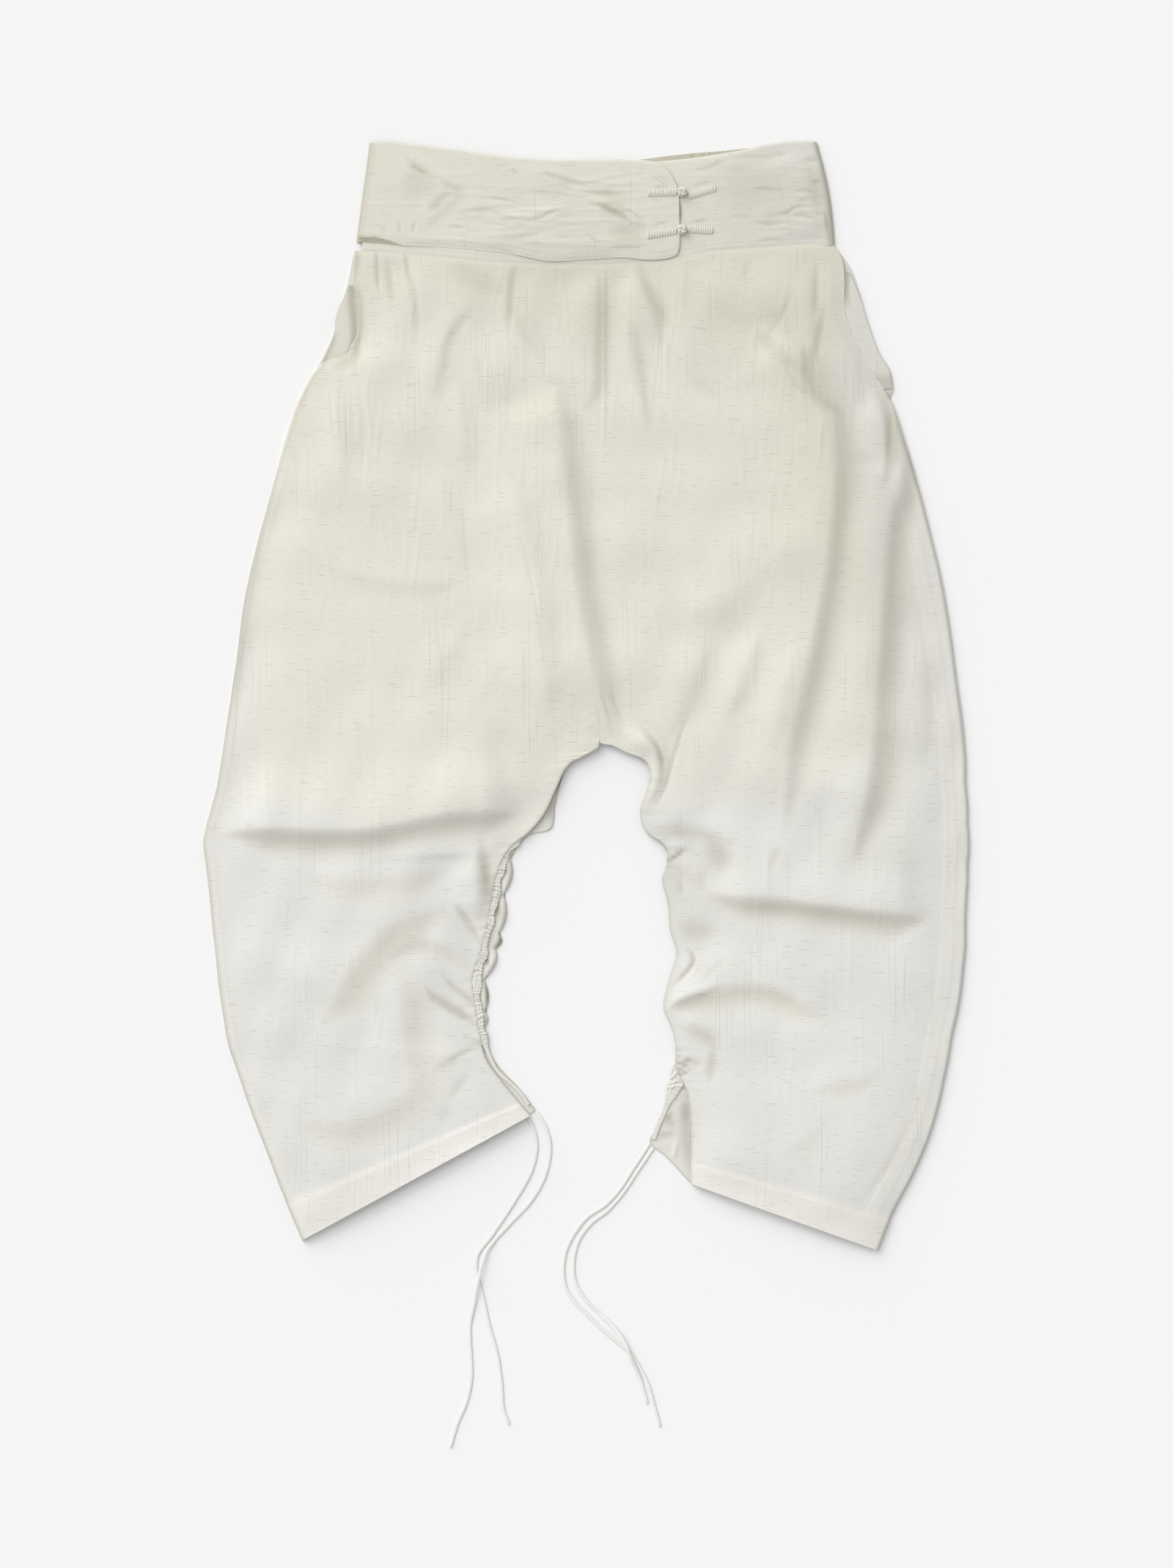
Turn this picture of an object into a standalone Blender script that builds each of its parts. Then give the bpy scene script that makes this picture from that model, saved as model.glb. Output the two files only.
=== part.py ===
"""Drop-crotch pants in slubbed silk and linen, laid flat with the front up.

The pants lie on a table: X runs across them, Y points to the waist and Z is up.
Right and left are the wearer's, so the right leg lies on the -X side.
Tables give places in millimetres: x across from the middle, and down from the waist's top.
"""
from collections import namedtuple
import math

import bmesh
import bpy
from mathutils import Vector
import numpy as np

MM = 0.001

# Driving dimensions, in millimetres
LAID_LENGTH = 999.0
CLOTH = 1.2
BACK_CLOTH = 1.2
SEAM_GAP = 0.3
LINING_CLOTH = 1.0
BAND_CLOTH = 1.6
BAND_BACK_CLOTH = 1.4
BAND_ROLL = 5.0
BAND_TURNS = (0.15, 0.45, 1.0)
HEM_DEPTH = 25.0
HEM_RISE = 0.5
CORD_WIDTH = 3.2
CORD_FLOOR_GAP = 0.05
CASING_NEAR = 0.8
CASING_FAR = 8.0
CASING_RISE = 2.4
CASING_RUFFLE = 0.6
FROG_BAR_RADIUS = 2.7
FROG_KNOT_RADIUS = 4.6
FROG_KNOT_HEIGHT = 6.8

# Heights of the layers above the table
BACK_TOP = BACK_CLOTH
LINING_LOW = BACK_TOP + SEAM_GAP
FACING_LOW = BACK_TOP + SEAM_GAP
EDGE_LOW = BACK_TOP + SEAM_GAP
FRONT_LOW = LINING_LOW + LINING_CLOTH + SEAM_GAP
WAIST_LOW = 2.0
FLAP_LOW = WAIST_LOW + BAND_CLOTH + SEAM_GAP
FLAP_TOP = FLAP_LOW + BAND_CLOTH

# How air and creases lift the front off the layers below
AIR_LIFT = 3.4
AIR_REACH = 32.0
EDGE_ROLL = 8.0
WAIST_ROLL = 16.0
FOLD_FADE = 9.0
FOLD_END = 0.16
SEAM_DIP_REACH = 70.0

# How finely each piece is divided
FRONT_COLUMNS = 18
FLAT_COLUMNS = 8
EDGE_CROWDING = 0.09
ROW_SPACING = 16.0
CORD_POINT_SPACING = 3.0
WAVE_STEPS = 4
FROG_SIDES = 8

Section = namedtuple("Section", "outer_x outer_down inner_x inner_down")
Fold = namedtuple("Fold", "name height soft steep crest")
Column = namedtuple("Column", "top_x top_down bottom_x bottom_down")
Bar = namedtuple("Bar", "name start_x start_down end_x end_down bed")
Knot = namedtuple("Knot", "name x down past_flap")

# The seam below the waistband, as x and down
WAIST_SEAM = [
    (-208, 101), (-157, 103.5), (-98, 109.5), (-35, 112.5), (17, 112.5), (54, 109.5),
    (83, 106.5), (107, 102), (146, 98.5), (186, 95.5), (212, 95), (224, 96)]

# Sections of the right front, from the waist seam down to the hem: outer x, down, inner x, down
FRONT_RIGHT_SECTIONS = [Section(*row) for row in (
    (-208, 103, 17, 112),
    (-210, 128, 17, 139),
    (-205, 141, 17, 158),
    (-204, 161, 17, 176),
    (-206, 176, 17, 192),
    (-214, 187, 17, 207),
    (-239, 203, 16, 227),
    (-256, 230, 16, 253),
    (-268, 263, 16, 290),
    (-281, 311, 15, 336),
    (-296, 366, 14, 385),
    (-307, 415, 14, 435),
    (-314, 468, 13, 484),
    (-323, 527, 13, 524),
    (-328, 560, 12, 543),
    (-332, 583, 1, 553),
    (-338, 605, -16, 563),
    (-342, 620, -27, 585),
    (-344, 633, -37, 606),
    (-342, 649, -50, 622),
    (-340, 666, -68, 637),
    (-338, 684, -78, 654),
    (-336, 707, -84, 680),
    (-333, 732, -89, 707),
    (-330, 762, -95, 732),
    (-326, 788, -102, 755),
    (-322, 812, -99, 781),
    (-313, 839, -95, 806),
    (-301, 874, -89, 828),
    (-287, 910, -74, 849),
    (-271, 952, -61, 865),
    (-255, 990, -50, 878),
)]

# Sections of the right back; past the front's inner edge its ruffled edge shows
BACK_RIGHT_SECTIONS = [Section(*row) for row in (
    (-208, 103, 17, 112),
    (-214, 131, 17, 139),
    (-223, 158, 17, 167),
    (-227, 176, 17, 192),
    (-237, 197, 17, 207),
    (-256, 230, 16, 253),
    (-268, 263, 16, 290),
    (-281, 311, 15, 336),
    (-296, 366, 14, 385),
    (-307, 415, 14, 435),
    (-314, 468, 13, 484),
    (-323, 527, 13, 524),
    (-328, 560, 12, 543),
    (-332, 583, 1, 553),
    (-338, 605, -16, 563),
    (-342, 620, -27, 597),
    (-344, 633, -31, 619),
    (-342, 649, -50, 625),
    (-340, 666, -64, 641),
    (-338, 684, -66, 661),
    (-336, 707, -70, 682),
    (-333, 732, -73, 708),
    (-330, 762, -78, 732),
    (-326, 788, -87, 757),
    (-322, 812, -87, 781),
    (-313, 839, -89, 812),
    (-301, 874, -81, 830),
    (-287, 910, -62, 851),
    (-271, 952, -53, 862),
    (-255, 990, -45, 873),
)]

# Sections of the left front, whose inner edge is pinched and gathered by its drawstring
FRONT_LEFT_SECTIONS = [Section(*row) for row in (
    (223, 99, 17, 112),
    (231, 110, 17, 128),
    (233, 128, 17, 146),
    (233, 148, 17, 164),
    (237, 168, 17, 181),
    (247, 191, 17, 201),
    (260, 211, 17, 220),
    (274, 234, 16, 244),
    (286, 267, 16, 277),
    (297, 303, 15, 313),
    (309, 349, 14, 359),
    (320, 395, 14, 405),
    (328, 442, 14, 449),
    (334, 488, 13, 488),
    (339, 524, 14, 519),
    (341, 545, 14, 541),
    (342, 560, 24, 545),
    (342, 576, 36, 551),
    (343, 588, 53, 558),
    (344, 600, 58, 571),
    (344, 614, 55, 585),
    (345, 626, 49, 604),
    (345, 640, 54, 622),
    (344, 653, 72, 636),
    (344, 667, 73, 653),
    (343, 682, 69, 665),
    (342, 706, 74, 687),
    (342, 725, 76, 711),
    (340, 745, 82, 731),
    (338, 765, 76, 752),
    (334, 788, 70, 781),
    (330, 805, 76, 795),
    (327, 824, 81, 814),
    (323, 844, 82, 836),
    (318, 867, 91, 855),
    (309, 897, 94, 874),
    (295, 930, 95, 895),
    (276, 966, 95, 917),
    (263, 999, 95, 939),
)]

# Sections of the left back, which shows beside the casing near the hem
BACK_LEFT_SECTIONS = [Section(*row) for row in (
    (223, 99, 17, 112),
    (238, 117, 17, 128),
    (246, 138, 17, 146),
    (254, 164, 17, 164),
    (264, 191, 17, 191),
    (274, 207, 17, 207),
    (277, 224, 17, 227),
    (274, 234, 16, 244),
    (286, 267, 16, 277),
    (297, 303, 15, 313),
    (309, 349, 14, 359),
    (320, 395, 14, 405),
    (328, 442, 14, 449),
    (334, 488, 13, 488),
    (339, 524, 14, 519),
    (341, 545, 14, 541),
    (342, 560, 24, 545),
    (342, 576, 36, 551),
    (343, 588, 53, 558),
    (344, 600, 58, 571),
    (344, 614, 55, 585),
    (345, 626, 49, 604),
    (345, 640, 54, 622),
    (344, 653, 72, 636),
    (344, 667, 73, 653),
    (343, 682, 69, 665),
    (342, 706, 74, 687),
    (342, 725, 76, 711),
    (340, 745, 82, 731),
    (338, 765, 76, 752),
    (334, 788, 70, 781),
    (330, 805, 76, 795),
    (327, 824, 81, 814),
    (323, 844, 79, 841),
    (318, 867, 73, 869),
    (309, 897, 65, 887),
    (295, 930, 58, 902),
    (276, 966, 72, 914),
    (263, 999, 95, 939),
)]

# The lining hangs free inside each leg, clear of the seams, and ends above the knee
LINING_RIGHT_SECTIONS = [Section(*row) for row in (
    (-190, 130, 17, 136),
    (-190, 180, 17, 192),
    (-204, 212, 17, 222),
    (-212, 229, 16, 240),
    (-244, 250, 16, 262),
    (-265, 312, 15, 336),
    (-289, 415, 14, 435),
    (-306, 527, 13, 516),
    (-313, 560, 0, 532),
    (-317, 583, -42, 572),
)]
LINING_LEFT_SECTIONS = [Section(*row) for row in (
    (205, 128, 17, 136),
    (218, 188, 17, 192),
    (254, 236, 16, 253),
    (282, 312, 15, 336),
    (304, 415, 14, 435),
    (318, 488, 13, 488),
    (323, 524, 14, 504),
    (326, 560, 42, 529),
    (327, 588, 80, 566),
)]

# Places along the lower layers of the waistband, and along the flap that laps over them
FLAP_COLUMNS = [Column(*row) for row in (
    (-194, 3, -206, 92),
    (-182, 1, -196, 92),
    (-157, 4, -165, 95),
    (-118, 9, -124, 97),
    (-65, 16, -65, 103),
    (-35, 18, -35, 109),
    (1, 18, 1, 108),
    (34, 18, 34, 106),
    (57, 19, 57, 108),
    (70, 23, 72, 107),
    (77, 31, 79, 105),
    (82, 40, 83, 102),
    (84, 49, 85, 96),
)]
BAND_RIGHT_COLUMNS = [Column(*row) for row in (
    (-187, 6, -202, 100),
    (-157, 8, -157, 103),
    (-98, 16, -98, 109),
    (-35, 21, -35, 112),
    (17, 21, 17, 112),
)]
BAND_LEFT_COLUMNS = [Column(*row) for row in (
    (17, 21, 17, 112),
    (57, 20, 54, 109),
    (83, 18, 83, 106),
    (107, 15, 107, 101),
    (143, 9, 146, 98),
    (166, 4, 186, 95),
    (199, 1, 212, 94),
    (208, 2, 224, 97),
)]
BAND_BACK_COLUMNS = [Column(*row) for row in (
    (-187, 9, -200, 100),
    (-157, 10, -157, 103),
    (-98, 17, -98, 109),
    (-35, 21, -35, 112),
    (17, 20, 17, 112),
    (47, 18, 47, 109),
    (70, 15, 70, 106),
    (97, 12, 97, 104),
    (123, 10, 123, 100),
    (143, 8, 146, 98),
    (166, 7, 186, 95),
    (202, 5, 217, 96),
)]

# Pocket facings, which show as slivers outside the slanted pocket mouths
FACING_RIGHT_SECTIONS = [Section(*row) for row in (
    (-212, 131, -195, 131),
    (-221, 158, -193, 158),
    (-225, 176, -193, 176),
    (-234, 195, -198, 197),
    (-250, 226, -215, 226),
)]
FACING_LEFT_SECTIONS = [Section(*row) for row in (
    (236, 119, 222, 119),
    (244, 138, 222, 138),
    (252, 164, 226, 164),
    (262, 191, 236, 191),
    (272, 208, 248, 208),
    (275, 224, 258, 224),
)]

# Large folds: each falls softly on one side and steeply on the other, which is the side that
# lies on the left of somebody walking along the crest's points
FOLDS = [
    Fold("right_leg_tuck", 8.5, 42, 13, [
        (-57, 604), (-105, 602), (-144, 607), (-184, 616), (-223, 619), (-303, 618), (-334, 625)]),
    Fold("right_knee_arc", 5.5, 38, 15, [(-130, 688), (-167, 698), (-194, 722), (-217, 755), (-237, 788)]),
    Fold("right_shin_arc", 5.0, 34, 13, [
        (-174, 755), (-175, 798), (-176, 834), (-181, 861), (-204, 872), (-266, 878)]),
    Fold("right_casing_upper", 4.0, 12, 8, [(-97, 727), (-121, 704), (-151, 675)]),
    Fold("right_casing_middle", 4.5, 10, 8, [(-98, 790), (-121, 776), (-148, 761)]),
    Fold("right_casing_lower", 4.0, 10, 8, [(-91, 814), (-113, 816), (-134, 827), (-149, 836)]),
    Fold("right_casing_hollow", 5.0, 26, 8, [(-103, 633), (-95, 666), (-86, 699), (-86, 715)]),
    Fold("centre_groove", 3.5, 40, 12, [(5, 116), (3, 158), (1, 204), (0, 244)]),
    Fold("centre_drape", 5.5, 50, 15, [
        (-23, 263), (-16, 303), (-11, 349), (-7, 402), (-1, 455), (9, 498), (22, 524)]),
    Fold("right_thigh_drape", 3.5, 30, 12, [(-69, 315), (-50, 382), (-41, 435), (-37, 481), (-33, 527)]),
    Fold("left_hip_groove", 6.0, 42, 14, [
        (191, 138), (198, 191), (203, 224), (219, 248), (221, 303), (219, 356), (204, 383), (201, 435),
        (194, 475), (184, 508), (177, 537), (177, 574), (179, 607), (171, 633), (157, 663)]),
    Fold("left_side_groove", 6.0, 30, 13, [
        (289, 315), (273, 346), (265, 389), (262, 435), (262, 481), (260, 534), (253, 574), (244, 607),
        (239, 649)]),
    Fold("left_pocket_drop", 4.0, 20, 8, [(266, 237), (266, 270), (264, 303), (261, 329)]),
    Fold("left_leg_tuck", 7.5, 42, 13, [
        (315, 691), (285, 688), (252, 686), (212, 680), (173, 676), (133, 674), (105, 666)]),
    Fold("left_knee_ridge", 5.5, 34, 12, [
        (240, 790), (212, 773), (186, 761), (153, 756), (120, 757), (93, 765), (72, 777)]),
    Fold("left_crotch_roll", 4.0, 14, 8, [(31, 523), (49, 537), (60, 554), (62, 568), (59, 581), (52, 599)]),
    Fold("body_sweep", 3.5, 48, 22, [(186, 350), (149, 386), (110, 407), (67, 427)]),
    Fold("body_low", 3.0, 26, 12, [(108, 448), (87, 488), (72, 524)]),
]

# Rows of the section tables, counted from the waist: the pocket mouth's end, and the crotch
MOUTH_SECTION = 7
CROTCH_FRONT_RIGHT = 14
CROTCH_FRONT_LEFT = 15
CROTCH_BACK_RIGHT = 12
CROTCH_BACK_LEFT = 15
CROTCH_LINING_RIGHT = 7
CROTCH_LINING_LEFT = 6

# Gathered channels for the drawstrings, which follow an inner edge between two of its sections
CASING_RIGHT_SECTIONS = (18.0, 28.0)
CASING_RIGHT_WAVES = 18
CASING_LEFT_SECTIONS = (34.4, 36.0)
CASING_LEFT_WAVES = 4

# Frog closures: each bar runs from start to end on the bed height below it
FROG_BARS = [
    Bar("frog_upper_loop", 57.5, 48.0, 79.2, 47.0, FLAP_TOP),
    Bar("frog_upper_bar", 94.5, 50.6, 116.5, 43.6, WAIST_LOW + BAND_CLOTH),
    Bar("frog_lower_loop", 57.5, 86.0, 79.2, 82.0, FLAP_TOP),
    Bar("frog_lower_bar", 94.5, 80.2, 113.5, 81.8, WAIST_LOW + BAND_CLOTH),
]
FROG_KNOTS = [Knot("frog_upper_knot", 86.8, 47.0, 2.9), Knot("frog_lower_knot", 86.8, 81.0, 1.6)]
FROG_WRAPS = 9

# Free ends of the two drawstrings: x, down and lift off the table
DRAWSTRINGS = {
    "drawstring_right_inner": [
        (-52.0, 880.0, 0), (-47, 889, 0), (-44, 904, 0), (-46, 919, 0), (-50, 931, 0), (-56, 942, 0),
        (-69, 963, 0), (-86, 988, 0), (-97, 1003, 0), (-98.5, 1014, 0), (-96, 1028, 0), (-92, 1043, 0),
        (-87, 1066, 0), (-80, 1091, 0), (-76, 1117, 0), (-74, 1142, 0), (-69, 1156, 0)],
    "drawstring_right_outer": [
        (-44.6, 873.6, 0), (-36, 888, 0), (-32, 904, 0), (-33, 919, 0), (-39, 938, 0), (-50, 956, 0),
        (-65, 972, 0), (-79, 987, 0), (-88.5, 999, 1.6), (-93.5, 1013, 3.6), (-97, 1029, 3.6),
        (-100, 1046, 1.2), (-104, 1066, 0), (-104, 1082, 0), (-103, 1098, 0), (-103, 1115, 0),
        (-107, 1135, 0), (-115, 1154, 0), (-122, 1177, 0)],
    "drawstring_left_outer": [
        (57.4, 903.4, 0), (44, 924, 0), (28, 948, 0), (17, 959, 0), (2, 969, 0), (-10, 984, 0),
        (-18, 1001, 0), (-20, 1018, 0), (-18, 1032, 0), (-11, 1044, 0), (-2, 1053, 0), (13, 1068, 0),
        (28, 1081, 0), (39, 1090, 0), (48, 1103, 0), (56, 1119, 0), (62, 1140, 0), (67, 1158, 0)],
    "drawstring_left_inner": [
        (61.0, 906.9, 0), (47.5, 927, 0), (31.5, 950.5, 0), (19, 964, 0), (5, 975, 0), (-6, 990, 0),
        (-11, 1011, 0), (-9, 1028, 0), (-1, 1042, 0), (12, 1055, 0), (27, 1070, 2.2), (35, 1082, 3.7),
        (40.5, 1095, 3.5), (46, 1107, 1.2), (50, 1117, 0), (53, 1128, 0), (55.5, 1137, 0)],
}

# Colours, as linear values: the cloth, its doubled hems and bands, the lining and the cord
IVORY = (0.76, 0.74, 0.67, 1.0)
BAND_IVORY = (0.78, 0.76, 0.69, 1.0)
LINING_IVORY = (0.74, 0.71, 0.60, 1.0)
CORD_IVORY = (0.82, 0.80, 0.74, 1.0)


def clear_scene():
    for thing in list(bpy.data.objects):
        bpy.data.objects.remove(thing, do_unlink=True)


def make_material(name, colour, roughness):
    """A plain finish, one for each piece."""
    material = bpy.data.materials.new(name)
    material.use_nodes = True
    shader = material.node_tree.nodes["Principled BSDF"]
    shader.inputs["Base Color"].default_value = colour
    shader.inputs["Roughness"].default_value = roughness
    shader.inputs["Metallic"].default_value = 0.0
    return material


def smooth_line(stations, values, at):
    """Reads a smooth curve through a table's column at the given stations."""
    stations = np.asarray(stations, float)
    values = np.asarray(values, float)
    secant = np.diff(values) / np.diff(stations)
    slope = np.concatenate(([secant[0]], 0.5 * (secant[1:] + secant[:-1]), [secant[-1]]))
    place = np.clip(np.searchsorted(stations, at, side="right") - 1, 0, len(stations) - 2)
    span = stations[place + 1] - stations[place]
    part = (at - stations[place]) / span
    start_share = 2 * part**3 - 3 * part**2 + 1
    start_slope = part**3 - 2 * part**2 + part
    end_share = 3 * part**2 - 2 * part**3
    end_slope = part**3 - part**2
    return (start_share * values[place] + start_slope * span * slope[place]
            + end_share * values[place + 1] + end_slope * span * slope[place + 1])


def run_lengths(x, down):
    """Length along a line of places, from 0 at its first place."""
    return np.concatenate(([0.0], np.cumsum(np.hypot(np.diff(x), np.diff(down)))))


def section_stations(sections):
    """Length down the leg at each section, as the mean of its two edges."""
    table = np.asarray(sections, float)
    return 0.5 * (run_lengths(table[:, 0], table[:, 1]) + run_lengths(table[:, 2], table[:, 3]))


def row_stations(stations, widest):
    """Every section, with a row between two that lie more than the widest step apart."""
    at = [stations[0]]
    order = [0.0]
    for k in range(1, len(stations)):
        steps = 2 if stations[k] - stations[k - 1] > widest else 1
        for step in range(1, steps + 1):
            share = step / steps
            at.append(stations[k - 1] * (1 - share) + stations[k] * share)
            order.append(k - 1 + share)
    return np.array(at), np.array(order)


def edge_spaced(columns):
    """Shares of the width from 0 to 1, closer together near both edges."""
    even = np.linspace(0.0, 1.0, columns + 1)
    return even - EDGE_CROWDING * np.sin(2 * np.pi * even)


def waist_seam(x):
    """How far down the seam between the waistband and the legs runs at x."""
    table = np.asarray(WAIST_SEAM, float)
    return smooth_line(table[:, 0], table[:, 1], np.clip(x, table[0, 0], table[-1, 0]))


def centre_seam(down):
    """How far across the seam between the two legs lies, from the waist to the crotch."""
    return 17.0 - 4.6 * np.clip((down - 215.0) / 330.0, 0.0, 1.0)


def spread(sections, shares, hangs, crotch, side):
    """Grid of places: a row for each section step and a column for each share of the width."""
    table = np.asarray(sections, float)
    stations = section_stations(sections)
    at, order = row_stations(stations, ROW_SPACING)
    outer_x, outer_down, inner_x, inner_down = [smooth_line(stations, table[:, k], at) for k in range(4)]
    on_seam = order <= crotch
    inner_x[on_seam] = centre_seam(inner_down[on_seam]) + 0.5 * SEAM_GAP * side
    x = outer_x[:, None] * (1 - shares) + inner_x[:, None] * shares
    down = outer_down[:, None] * (1 - shares) + inner_down[:, None] * shares
    if hangs:
        dip = waist_seam(x[0]) + SEAM_GAP - down[0]
        fade = np.clip(1.0 - at / SEAM_DIP_REACH, 0.0, 1.0) ** 2
        down = down + fade[:, None] * dip[None, :]
    return x, down, at, order


def to_metres(x, down, z):
    y = 0.5 * LAID_LENGTH - np.asarray(down, float)
    return np.stack([np.asarray(x, float) * MM, y * MM, np.asarray(z, float) * MM], axis=-1)


def add_object(name, build, material, sharp_angle):
    bmesh.ops.recalc_face_normals(build, faces=build.faces)
    mesh = bpy.data.meshes.new(name)
    build.to_mesh(mesh)
    build.free()
    mesh.shade_smooth()
    mesh.set_sharp_from_angle(angle=math.radians(sharp_angle))
    mesh.materials.append(material)
    piece = bpy.data.objects.new(name, mesh)
    bpy.context.collection.objects.link(piece)
    return piece


def wall(name, top, low, material):
    """Closes a grid of upper points and its lower points into one solid wall."""
    rows, columns = top.shape[:2]
    build = bmesh.new()
    upper = [[build.verts.new(top[i, j]) for j in range(columns)] for i in range(rows)]
    under = [[build.verts.new(low[i, j]) for j in range(columns)] for i in range(rows)]
    for i in range(rows - 1):
        for j in range(columns - 1):
            build.faces.new((upper[i][j], upper[i + 1][j], upper[i + 1][j + 1], upper[i][j + 1]))
            build.faces.new((under[i][j], under[i][j + 1], under[i + 1][j + 1], under[i + 1][j]))
    rim = [(0, j) for j in range(columns)]
    rim += [(i, columns - 1) for i in range(1, rows)]
    rim += [(rows - 1, j) for j in range(columns - 2, -1, -1)]
    rim += [(i, 0) for i in range(rows - 2, 0, -1)]
    for (i, j), (k, m) in zip(rim, rim[1:] + rim[:1]):
        build.faces.new((upper[i][j], upper[k][m], under[k][m], under[i][j]))
    return add_object(name, build, material, 50)


def rounded(distance, reach):
    """Quarter circle from 0 at an edge to 1 at its reach."""
    part = np.clip(1.0 - distance / reach, 0.0, 1.0)
    return np.sqrt(1.0 - part**2)


def eased(share):
    """Soft step from 0 to 1."""
    share = np.clip(share, 0.0, 1.0)
    return share * share * (3.0 - 2.0 * share)


def fold_height(fold, x, down):
    """Height of one fold over the places: a skewed bell across the crest, gone at its ends."""
    crest = np.asarray(fold.crest, float)
    lengths = np.hypot(*np.diff(crest, axis=0).T)
    start = run_lengths(crest[:, 0], crest[:, 1])
    nearest = np.full(x.shape, np.inf)
    side = np.zeros(x.shape)
    along = np.zeros(x.shape)
    for k, length in enumerate(lengths):
        run = (crest[k + 1] - crest[k]) / length
        step_x = x - crest[k, 0]
        step_down = down - crest[k, 1]
        reach = np.clip(step_x * run[0] + step_down * run[1], 0.0, length)
        distance = np.hypot(step_x - reach * run[0], step_down - reach * run[1])
        closer = distance < nearest
        nearest = np.where(closer, distance, nearest)
        side = np.where(closer, run[1] * step_x - run[0] * step_down, side)
        along = np.where(closer, start[k] + reach, along)
    width = np.where(side > 0, fold.steep, fold.soft)
    share = along / start[-1]
    fade = eased(share / FOLD_END) * eased((1.0 - share) / FOLD_END)
    return fold.height * fade * np.exp(-((nearest / width) ** 2))


def front_heights(x, down, at, order, shares, crotch):
    """Upper and lower heights of a front, lifted by air and folds and rolled at its edges."""
    width = np.hypot(x[:, -1] - x[:, 0], down[:, -1] - down[:, 0])[:, None]
    from_outer = shares[None, :] * width
    from_inner = (1.0 - shares[None, :]) * width
    from_waist = at[:, None]
    from_hem = (at[-1] - at)[:, None]
    open_leg = np.clip((order - crotch + 1.0) / 2.0, 0.0, 1.0)[:, None]
    past_mouth = np.clip(order - MOUTH_SECTION, 0.0, 1.0)[:, None]
    roll = 1.0 - open_leg * (1.0 - rounded(from_inner, EDGE_ROLL))
    roll = roll * (1.0 - past_mouth * (1.0 - rounded(from_outer, EDGE_ROLL)))
    roll = roll * rounded(from_waist, WAIST_ROLL) * rounded(from_hem, EDGE_ROLL)
    air = (1.0 - np.exp(-from_outer / AIR_REACH)) * (1.0 - open_leg * np.exp(-from_inner / AIR_REACH))
    air = air * (1.0 - np.exp(-from_waist / AIR_REACH)) * (1.0 - np.exp(-from_hem / AIR_REACH))
    fade = (1.0 - np.exp(-from_outer / FOLD_FADE)) * (1.0 - open_leg * np.exp(-from_inner / FOLD_FADE))
    fade = fade * (1.0 - np.exp(-from_waist / FOLD_FADE)) * (1.0 - np.exp(-from_hem / FOLD_FADE))
    folded = sum(fold_height(fold, x, down) for fold in FOLDS)
    low = EDGE_LOW + (FRONT_LOW - EDGE_LOW) * roll + AIR_LIFT * air + folded * fade
    rise = HEM_RISE * (from_hem < HEM_DEPTH)
    return low + CLOTH + rise, low


def front_panel(name, sections, crotch, side, material):
    shares = edge_spaced(FRONT_COLUMNS)
    x, down, at, order = spread(sections, shares, True, crotch, side)
    top, low = front_heights(x, down, at, order, shares, crotch)
    return wall(name, to_metres(x, down, top), to_metres(x, down, low), material)


def flat_panel(name, sections, low, thickness, hangs, crotch, side, material):
    """A panel that lies flat: a back, a lining or a pocket facing."""
    shares = np.linspace(0.0, 1.0, FLAT_COLUMNS + 1)
    x, down, at, order = spread(sections, shares, hangs, crotch, side)
    flat = np.full(x.shape, low)
    return wall(name, to_metres(x, down, flat + thickness), to_metres(x, down, flat), material)


def column_stations(table, rolled):
    """Stations along a band: each column, one between two, and three in a rolled end."""
    stations = run_lengths(table[:, 0], table[:, 1])
    at = np.sort(np.concatenate((stations, 0.5 * (stations[1:] + stations[:-1]))))
    turns = np.array(BAND_TURNS) * BAND_ROLL
    if rolled == "first":
        at = np.concatenate((at[:1], turns, at[at > BAND_ROLL + 1.0]))
    if rolled == "last":
        at = np.concatenate((at[at < at[-1] - BAND_ROLL - 1.0], at[-1] - turns[::-1], at[-1:]))
    return stations, at


def band(name, columns, rows, low, thickness, on_seam, rolled, gaps, material):
    """A layer of the waistband; a rolled end turns down over the ends of the layers below."""
    table = np.asarray(columns, float)
    stations, at = column_stations(table, rolled)
    top_x, top_down, bottom_x, bottom_down = [smooth_line(stations, table[:, k], at) for k in range(4)]
    if on_seam:
        bottom_down = waist_seam(bottom_x) - 0.5 * SEAM_GAP
    top_x[0] += gaps[0]
    bottom_x[0] += gaps[0]
    top_x[-1] -= gaps[1]
    bottom_x[-1] -= gaps[1]
    shares = np.linspace(0.0, 1.0, rows + 1)[:, None]
    x = top_x * (1 - shares) + bottom_x * shares
    down = top_down * (1 - shares) + bottom_down * shares
    under = np.full(x.shape, low)
    if rolled:
        from_end = at - at[0] if rolled == "first" else at[-1] - at
        under[:] = SEAM_GAP + (low - SEAM_GAP) * rounded(from_end, BAND_ROLL)
    return wall(name, to_metres(x, down, under + thickness), to_metres(x, down, under), material)


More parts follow.
